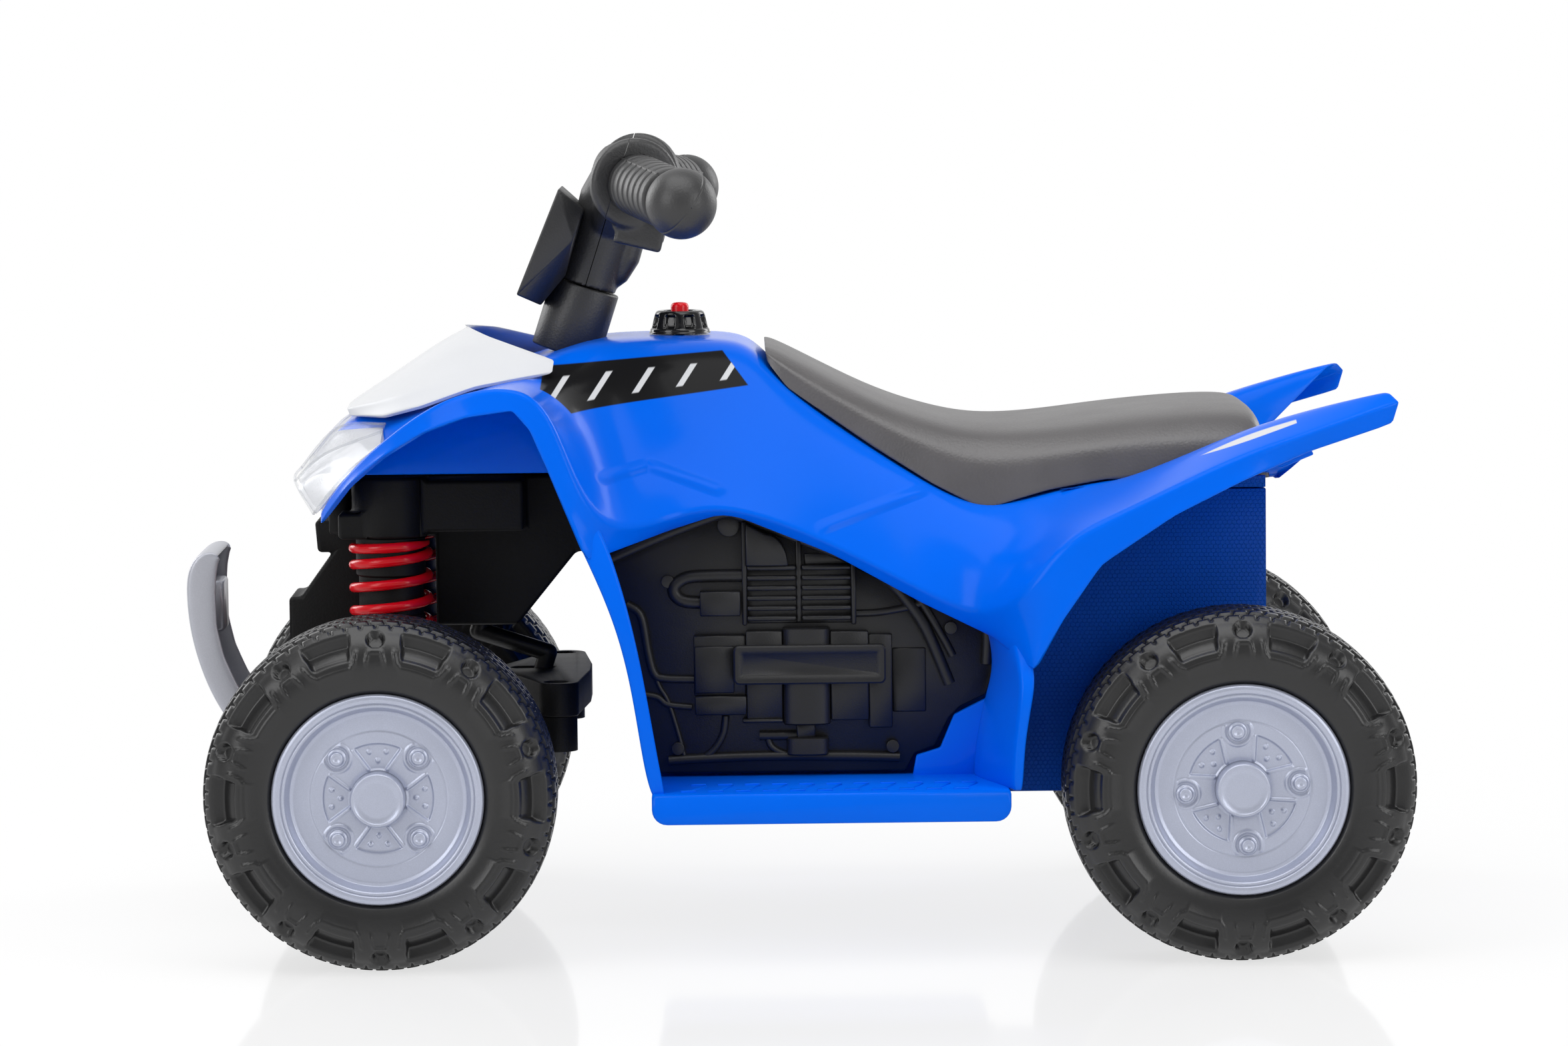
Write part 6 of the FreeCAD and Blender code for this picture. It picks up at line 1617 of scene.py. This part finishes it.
def add_openings(made):
    """Cut room for the rocker's swing and a round hole for the socket's barrel."""
    bm = bmesh.new()
    low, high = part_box("direction_switch")
    block(bm, low - SWITCH_ROOM, high + SWITCH_ROOM)
    low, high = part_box("charge_socket")
    centre = (low + high) / 2
    barrel = (high.x - low.x) / 2 - SOCKET_FLANGE
    tube(bm, [(centre.x, y, centre.z) for y in (low.y, high.y)], barrel, sides=40)
    cutter = bpy.data.objects.new("opening", to_mesh(bm, "opening"))
    bpy.context.scene.collection.objects.link(cutter)
    cutter.hide_render = True
    cut = made.modifiers.new("Opening", "BOOLEAN")
    cut.operation = "DIFFERENCE"
    cut.object = cutter


class QUAD_OT_panels(Operator):
    """Black side panels with their engine relief"""

    bl_idname = "quad.panels"
    bl_label = "Panels"

    def execute(self, context):
        for name, side in SIDES.items():
            mesh = panel_mesh(side, context.scene.quad_sizes)
            piece(f"panel_{name}_moulded", mesh, "chassis", "panel_black",
                  [f"side_panel_{name}"])
        for cutter in [made for made in bpy.data.objects if made.name.startswith("opening")]:
            bpy.data.objects.remove(cutter)
        return {"FINISHED"}


# Bumper: shares of its frame node's box
bumper_front_shares = [
    (0.40, 0.985), (0.28, 1.0), (0.12, 0.975), (0.02, 0.90), (0.0, 0.80), (0.03, 0.63), (0.13, 0.46),
    (0.30, 0.28), (0.58, 0.11), (0.82, 0.004)]
bumper_back_shares = [
    (0.42, 0.955), (0.42, 0.95), (0.41, 0.935), (0.385, 0.88), (0.37, 0.79), (0.38, 0.63), (0.46, 0.49),
    (0.60, 0.36), (0.83, 0.21), (0.995, 0.10)]
bumper_width_shares = [0.90, 0.985, 1.0]
bumper_flank_share = 0.25
bumper_round_share = 0.04
# Boss behind the face and foot of the hoop, from corner to corner
bumper_boss_shares = [((0.10, 0.59), -0.4, (0.42, 0.84), 0.4), ((0.70, 0.02), -0.88, (1.0, 0.10), 0.88)]
BUMPER_WALL = 3.2 * MM


def bumper_mesh(sizes):
    """Smooth channel hoop, open to the rear, with a boss behind its face."""
    low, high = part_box("front_bumper")
    span = high - low

    def place(share, wide):
        y = (low.y + high.y) / 2 + wide * span.y / 2
        return Vector((low.x + share[0] * span.x, y, low.z + share[1] * span.z))

    rails = []
    for side in (-1, 1):
        near, edge, wide = [side * share for share in bumper_width_shares]
        flank = [[place(share, wide) for share in bumper_back_shares]]
        for out, back_share in ((wide, bumper_flank_share), (edge, bumper_round_share)):
            flank.append([place(front, out).lerp(place(back, out), back_share)
                          for front, back in zip(bumper_front_shares, bumper_back_shares)])
        flank.append([place(share, near) for share in bumper_front_shares])
        rails += flank if side < 0 else flank[::-1]
    bm = bmesh.new()
    net(bm, rails)
    bmesh.ops.recalc_face_normals(bm, faces=bm.faces)
    if sum(face.normal.x * face.calc_area() for face in bm.faces) > 0:
        bmesh.ops.reverse_faces(bm, faces=bm.faces)
    skin = bpy.data.meshes.new("hoop")
    bm.to_mesh(skin)
    bm.free()
    hoop = baked(skin, lambda made: add_wall(made, BUMPER_WALL),
                 lambda made: add_subdivision(made, sizes.smoothing))
    bm = bmesh.new()
    for start, left, end, right in bumper_boss_shares:
        block(bm, place(start, left), place(end, right))
    boss = baked(to_mesh(bm, "boss"), lambda made: add_edges(made, sizes.soft_edge))
    return merged("bumper", [hoop, boss])


class QUAD_OT_bumper(Operator):
    """Grey hoop at the nose"""

    bl_idname = "quad.bumper"
    bl_label = "Bumper"

    def execute(self, context):
        mesh = bumper_mesh(context.scene.quad_sizes)
        piece("bumper_moulded", mesh, "chassis", "bumper_grey", ["front_bumper"], sharp=50)
        return {"FINISHED"}


# Footrests: a hollow step with pads in two rows and a slanting line at each pitch
STEP_SINK = 1.5 * MM
STEP_CORNER = 8 * MM
STEP_EDGE = 2 * MM
STEP_WALL = 2.6 * MM
STEP_FACET = 35.0
PAD_PITCH = 14.3 * MM
PAD_MARGIN = 12 * MM
PAD_NEAR = 9 * MM
PAD_FAR = 34 * MM
PAD_HALF = Vector((4 * MM, 1.2 * MM, 0))
PAD_ROOT = Vector((0, 0, 0.6 * MM))
PAD_RISE = Vector((0, 0, 0.9 * MM))
PAD_EDGE = 0.5 * MM
LINE_RADIUS = 0.7 * MM
LINE_START = 2 * MM
LINE_END = 9 * MM
LINE_GAP = 3 * MM
pad_shift_share = 0.35


def footrest_mesh(side):
    """Hollow step with rounded corners, two rows of pads and slanting lines."""
    low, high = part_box("footrest_left" if side < 0 else "footrest_right")
    top = FOOTREST_TOP - STEP_SINK
    bm = bmesh.new()
    inner, outer = (high.y, low.y) if side < 0 else (low.y, high.y)
    outline = [(low.x, top)]
    turns = [math.pi / 2 * step / CORNER_STEPS for step in range(CORNER_STEPS + 1)]
    corner = [(STEP_CORNER * (1 - math.cos(a)), STEP_CORNER * (1 - math.sin(a))) for a in turns]
    outline += [(low.x + along, low.z + up) for along, up in corner]
    outline += [(high.x - along, low.z + up) for along, up in reversed(corner)]
    outline.append((high.x, top))
    verts = net(bm, [[Vector((x, y, z)) for x, z in outline] for y in (inner, outer)])
    bm.faces.new(verts[1])
    bm.faces.new((verts[0][0], verts[1][0], verts[1][-1], verts[0][-1]))
    box = baked(to_mesh(bm, "step"), lambda made: add_edges(made, STEP_EDGE, STEP_FACET),
                lambda made: add_wall(made, STEP_WALL))
    bm = bmesh.new()
    near, far = outer - side * PAD_NEAR, outer - side * PAD_FAR
    for index in range(int((high.x - low.x - 2 * PAD_MARGIN) / PAD_PITCH)):
        x = low.x + PAD_MARGIN + (index + 0.5) * PAD_PITCH
        for y, shift in ((near, 0.0), (far, pad_shift_share * PAD_PITCH)):
            centre = Vector((x + shift, y, top))
            block(bm, centre - PAD_HALF - PAD_ROOT, centre + PAD_HALF + PAD_RISE)
        line = [(x + LINE_START, near - side * LINE_GAP, top), (x + LINE_END, far + side * LINE_GAP, top)]
        tube(bm, [Vector(point) for point in line], LINE_RADIUS, sides=8)
    pads = baked(to_mesh(bm, "pads"), lambda made: add_edges(made, PAD_EDGE))
    return merged("footrest", [box, pads])


class QUAD_OT_footrests(Operator):
    """Blue steps on both sides"""

    bl_idname = "quad.footrests"
    bl_label = "Footrests"

    def execute(self, context):
        for name, side in SIDES.items():
            piece(f"step_{name}_moulded", footrest_mesh(side), "chassis", "moulded_blue",
                  [f"footrest_{name}"])
        return {"FINISHED"}


# Frame nodes that keep their built form: finish and edge radius share
plain_nodes = {
    # The tub's blue, darkened as painted shade
    "tub_blue": [("main_tub", 0.5)],
    # Darker copy of the black, painted shade
    "grained_black": [("front_carrier", 1.0), ("kingpin_left", 0.4), ("kingpin_right", 0.4),
                      ("knuckle_left", 0.4), ("knuckle_right", 0.4), ("tie_bar", 0.4), ("charge_socket", 0.3),
                      ("drive_switch", 0.3), ("gearbox_case_inner", 0.3), ("gearbox_case_outer", 0.3),
                      ("battery_strap", 0.0)],
    # Lighter copy of the black, painted light
    "bar_black": [("column_sleeve", 0.5)],
    "button_red": [("direction_switch", 0.3)],
    # Lighter copy of the black, painted light
    "panel_black": [("panel_screws", 0.2), ("steering_rod", 0.0)],
    "zinc_steel": [("chassis_nuts", 0.2), ("stub_nut_left", 0.2), ("stub_nut_right", 0.2),
                   ("stub_axle_left", 0.2), ("stub_axle_right", 0.2), ("rear_axle", 0.2),
                   ("motor", 0.4)],
    "gear_nylon": [("drive_gear", 0.0), ("compound_gear", 0.0), ("motor_pinion", 0.0)],
    "battery_case": [("battery", 0.5)],
    "lead_cover": [("wiring_loom", 0.0)],
}


# Bar between the carrier's towers: corners in a side view, and half width
carrier_nose_shares = [(-0.071, 0.55), (-0.046, 0.652)]
CARRIER_NOSE_HALF = 60 * MM


def carrier_nose_mesh(edge):
    """Front bar of the carrier between its towers."""
    low, high = carrier_nose_shares
    bm = bmesh.new()
    block(bm, side_point(low, -CARRIER_NOSE_HALF), side_point(high, CARRIER_NOSE_HALF))
    return baked(to_mesh(bm, "carrier_nose"), lambda made: add_edges(made, edge))


class QUAD_OT_fittings(Operator):
    """Finishes and edges of the frame nodes that keep their built form"""

    bl_idname = "quad.fittings"
    bl_label = "Fittings"

    def execute(self, context):
        edge = context.scene.quad_sizes.soft_edge
        piece("carrier_nose_moulded", carrier_nose_mesh(edge), "chassis", "grained_black")
        for material, nodes in plain_nodes.items():
            for node, share in nodes:
                dress(node, material, edge * share)
        return {"FINISHED"}


# Stage, in metres. Lamps: place, width and height, and the setting that holds the power
AIM = Vector((0.0, 0.0, 0.2))
lamps = {
    "key": ((-0.2, -0.5, 2.0), (2.2, 1.6), "key_power"),
    "front_side": ((-1.7, -1.5, 1.1), (1.0, 1.4), "side_power"),
    "rear_side": ((1.7, -1.5, 1.0), (1.0, 1.4), "side_power"),
    "front_back": ((-1.6, 1.3, 1.0), (0.8, 1.2), "back_power"),
    "rear_back": ((1.6, 1.3, 1.0), (0.8, 1.2), "back_power"),
}
FLOOR_SIZE = 60.0
FLOOR_FADE_START = 0.35
FLOOR_FADE_END = 1.0
BACKDROP_DISTANCE = 5.0
BACKDROP_HALF_WIDTH = 30.0
BACKDROP_HEIGHT = 12.0
SENSOR_WIDTH = 36.0
CLIP_END = 200.0
WHITE = (1, 1, 1, 1)


def lamp(name, place, size, power):
    """Soft rectangular lamp that looks at the object."""
    light = bpy.data.lights.new(name, "AREA")
    light.shape = "RECTANGLE"
    light.size, light.size_y = size
    light.energy = power
    made = bpy.data.objects.new(name, light)
    bpy.context.scene.collection.objects.link(made)
    made.location = place
    made.rotation_euler = (AIM - Vector(place)).to_track_quat("-Z", "Y").to_euler()


def looked_at(made):
    """1 for rays from the camera, straight, mirrored or through a lens, and 0 for the others."""
    path = made.node("ShaderNodeLightPath")
    seen = [Signal(made, path.socket.node.outputs[name])
            for name in ("Is Camera Ray", "Is Glossy Ray", "Is Transmission Ray")]
    return seen[0].higher(seen[1]).higher(seen[2])


def show_mixed(made, share, first, second):
    """Lead a mix of two shaders to the material's output."""
    mixed = made.node("ShaderNodeMixShader", None, {0: share, 1: first, 2: second})
    made.tree.links.new(mixed.socket, made.tree.nodes["Material Output"].inputs["Surface"])


def floor_finish(settings):
    """Pale sheet that fades to white away from the object and mirrors it softly."""
    blotch_grain, haze_grain = 0.4, 0.05
    made = Finish("floor_sheet")
    x, y, z = made.axes()
    away = (x * x + y * y).root().ramp(FLOOR_FADE_START, FLOOR_FADE_END)
    blotch = made.noise(blotch_grain)
    made.set(Base_Color=made.tint(blotch, shade(settings.floor, 0.985), shade(settings.floor, 1.0)),
             Roughness=0.05 + made.noise(haze_grain) * 0.03, IOR=1.5)
    white = made.node("ShaderNodeEmission", None, {"Color": WHITE, "Strength": 1.0})
    show_mixed(made, looked_at(made) * (0.7 + away * 0.3), Signal(made, made.shader.outputs[0]), white)
    return made.material


def backdrop_finish():
    """White sheet that shows to the camera and in reflections, but lights nothing."""
    made = Finish("backdrop_sheet")
    white = made.node("ShaderNodeEmission", None, {"Color": WHITE, "Strength": 1.0})
    show_mixed(made, looked_at(made), made.node("ShaderNodeBsdfTransparent"), white)
    return made.material


class QUAD_OT_stage(Operator):
    """Floor, surrounding light, lamps and camera"""

    bl_idname = "quad.stage"
    bl_label = "Stage"

    def execute(self, context):
        scene = context.scene
        settings = scene.quad_stage
        bm = bmesh.new()
        bmesh.ops.create_grid(bm, x_segments=4, y_segments=4, size=FLOOR_SIZE)
        mesh = bpy.data.meshes.new("floor")
        bm.to_mesh(mesh)
        bm.free()
        floor = bpy.data.objects.new("floor", mesh)
        scene.collection.objects.link(floor)
        mesh.materials.append(floor_finish(settings))
        bm = bmesh.new()
        net(bm, [[Vector((x, BACKDROP_DISTANCE, z)) for x in (-BACKDROP_HALF_WIDTH, BACKDROP_HALF_WIDTH)]
                 for z in (0.0, BACKDROP_HEIGHT)])
        backdrop = bpy.data.objects.new("backdrop", to_mesh(bm, "backdrop"))
        scene.collection.objects.link(backdrop)
        backdrop.data.materials.append(backdrop_finish())
        world = bpy.data.worlds.new("surround")
        scene.world = world
        world.use_nodes = True
        tree = world.node_tree
        ground = tree.nodes["Background"]
        ground.inputs["Color"].default_value = WHITE
        ground.inputs["Strength"].default_value = settings.sky
        bright = tree.nodes.new("ShaderNodeBackground")
        bright.inputs["Color"].default_value = WHITE
        path = tree.nodes.new("ShaderNodeLightPath")
        mixed = tree.nodes.new("ShaderNodeMixShader")
        tree.links.new(path.outputs["Is Camera Ray"], mixed.inputs[0])
        tree.links.new(ground.outputs[0], mixed.inputs[1])
        tree.links.new(bright.outputs[0], mixed.inputs[2])
        tree.links.new(mixed.outputs[0], tree.nodes["World Output"].inputs["Surface"])
        for name, (place, size, power) in lamps.items():
            lamp(name, place, size, getattr(settings, power))
        camera = bpy.data.cameras.new("camera")
        camera.sensor_width = SENSOR_WIDTH
        camera.lens = settings.lens
        camera.clip_end = CLIP_END
        made = bpy.data.objects.new("camera", camera)
        scene.collection.objects.link(made)
        made.location = settings.camera_place
        yaw, tilt = math.radians(settings.yaw), math.radians(settings.tilt)
        forward = Vector((math.sin(yaw) * math.cos(tilt), math.cos(yaw) * math.cos(tilt), -math.sin(tilt)))
        turn = forward.to_track_quat("-Z", "Y")
        made.rotation_mode = "QUATERNION"
        made.rotation_quaternion = turn @ Quaternion((0, 0, 1), math.radians(settings.roll))
        scene.camera = made
        scene.view_settings.view_transform = "Standard"
        return {"FINISHED"}


STEPS = ("stage", "shell", "nose", "seat", "wheels", "steering", "springs", "panels", "bumper", "footrests",
         "fittings")


class QUAD_PT_pieces(Panel):
    """Operators and settings of the quad bike"""

    bl_label = "Quad bike"
    bl_idname = "QUAD_PT_pieces"
    bl_space_type = "VIEW_3D"
    bl_region_type = "UI"
    bl_category = "Quad bike"

    def draw(self, context):
        for step in STEPS:
            self.layout.operator("quad." + step)
        for group in SETTINGS:
            values = getattr(context.scene, group)
            for key in values.__annotations__:
                self.layout.prop(values, key)


SETTINGS = {"quad_colours": QuadColours, "quad_sizes": QuadSizes, "quad_wheels": WheelSizes,
            "quad_bar": BarSizes, "quad_stage": StageSettings}
CLASSES = [*SETTINGS.values(), QUAD_OT_stage, QUAD_OT_shell, QUAD_OT_nose, QUAD_OT_seat, QUAD_OT_wheels,
           QUAD_OT_steering, QUAD_OT_springs, QUAD_OT_panels, QUAD_OT_bumper, QUAD_OT_footrests,
           QUAD_OT_fittings, QUAD_PT_pieces]


def register():
    for each in CLASSES:
        bpy.utils.register_class(each)
    for name, group in SETTINGS.items():
        setattr(bpy.types.Scene, name, PointerProperty(type=group))


def unregister():
    for name in SETTINGS:
        delattr(bpy.types.Scene, name)
    for each in reversed(CLASSES):
        bpy.utils.unregister_class(each)


def main():
    """Build every piece."""
    register()
    for step in STEPS:
        getattr(bpy.ops.quad, step)()


if __name__ == "__main__":
    main()
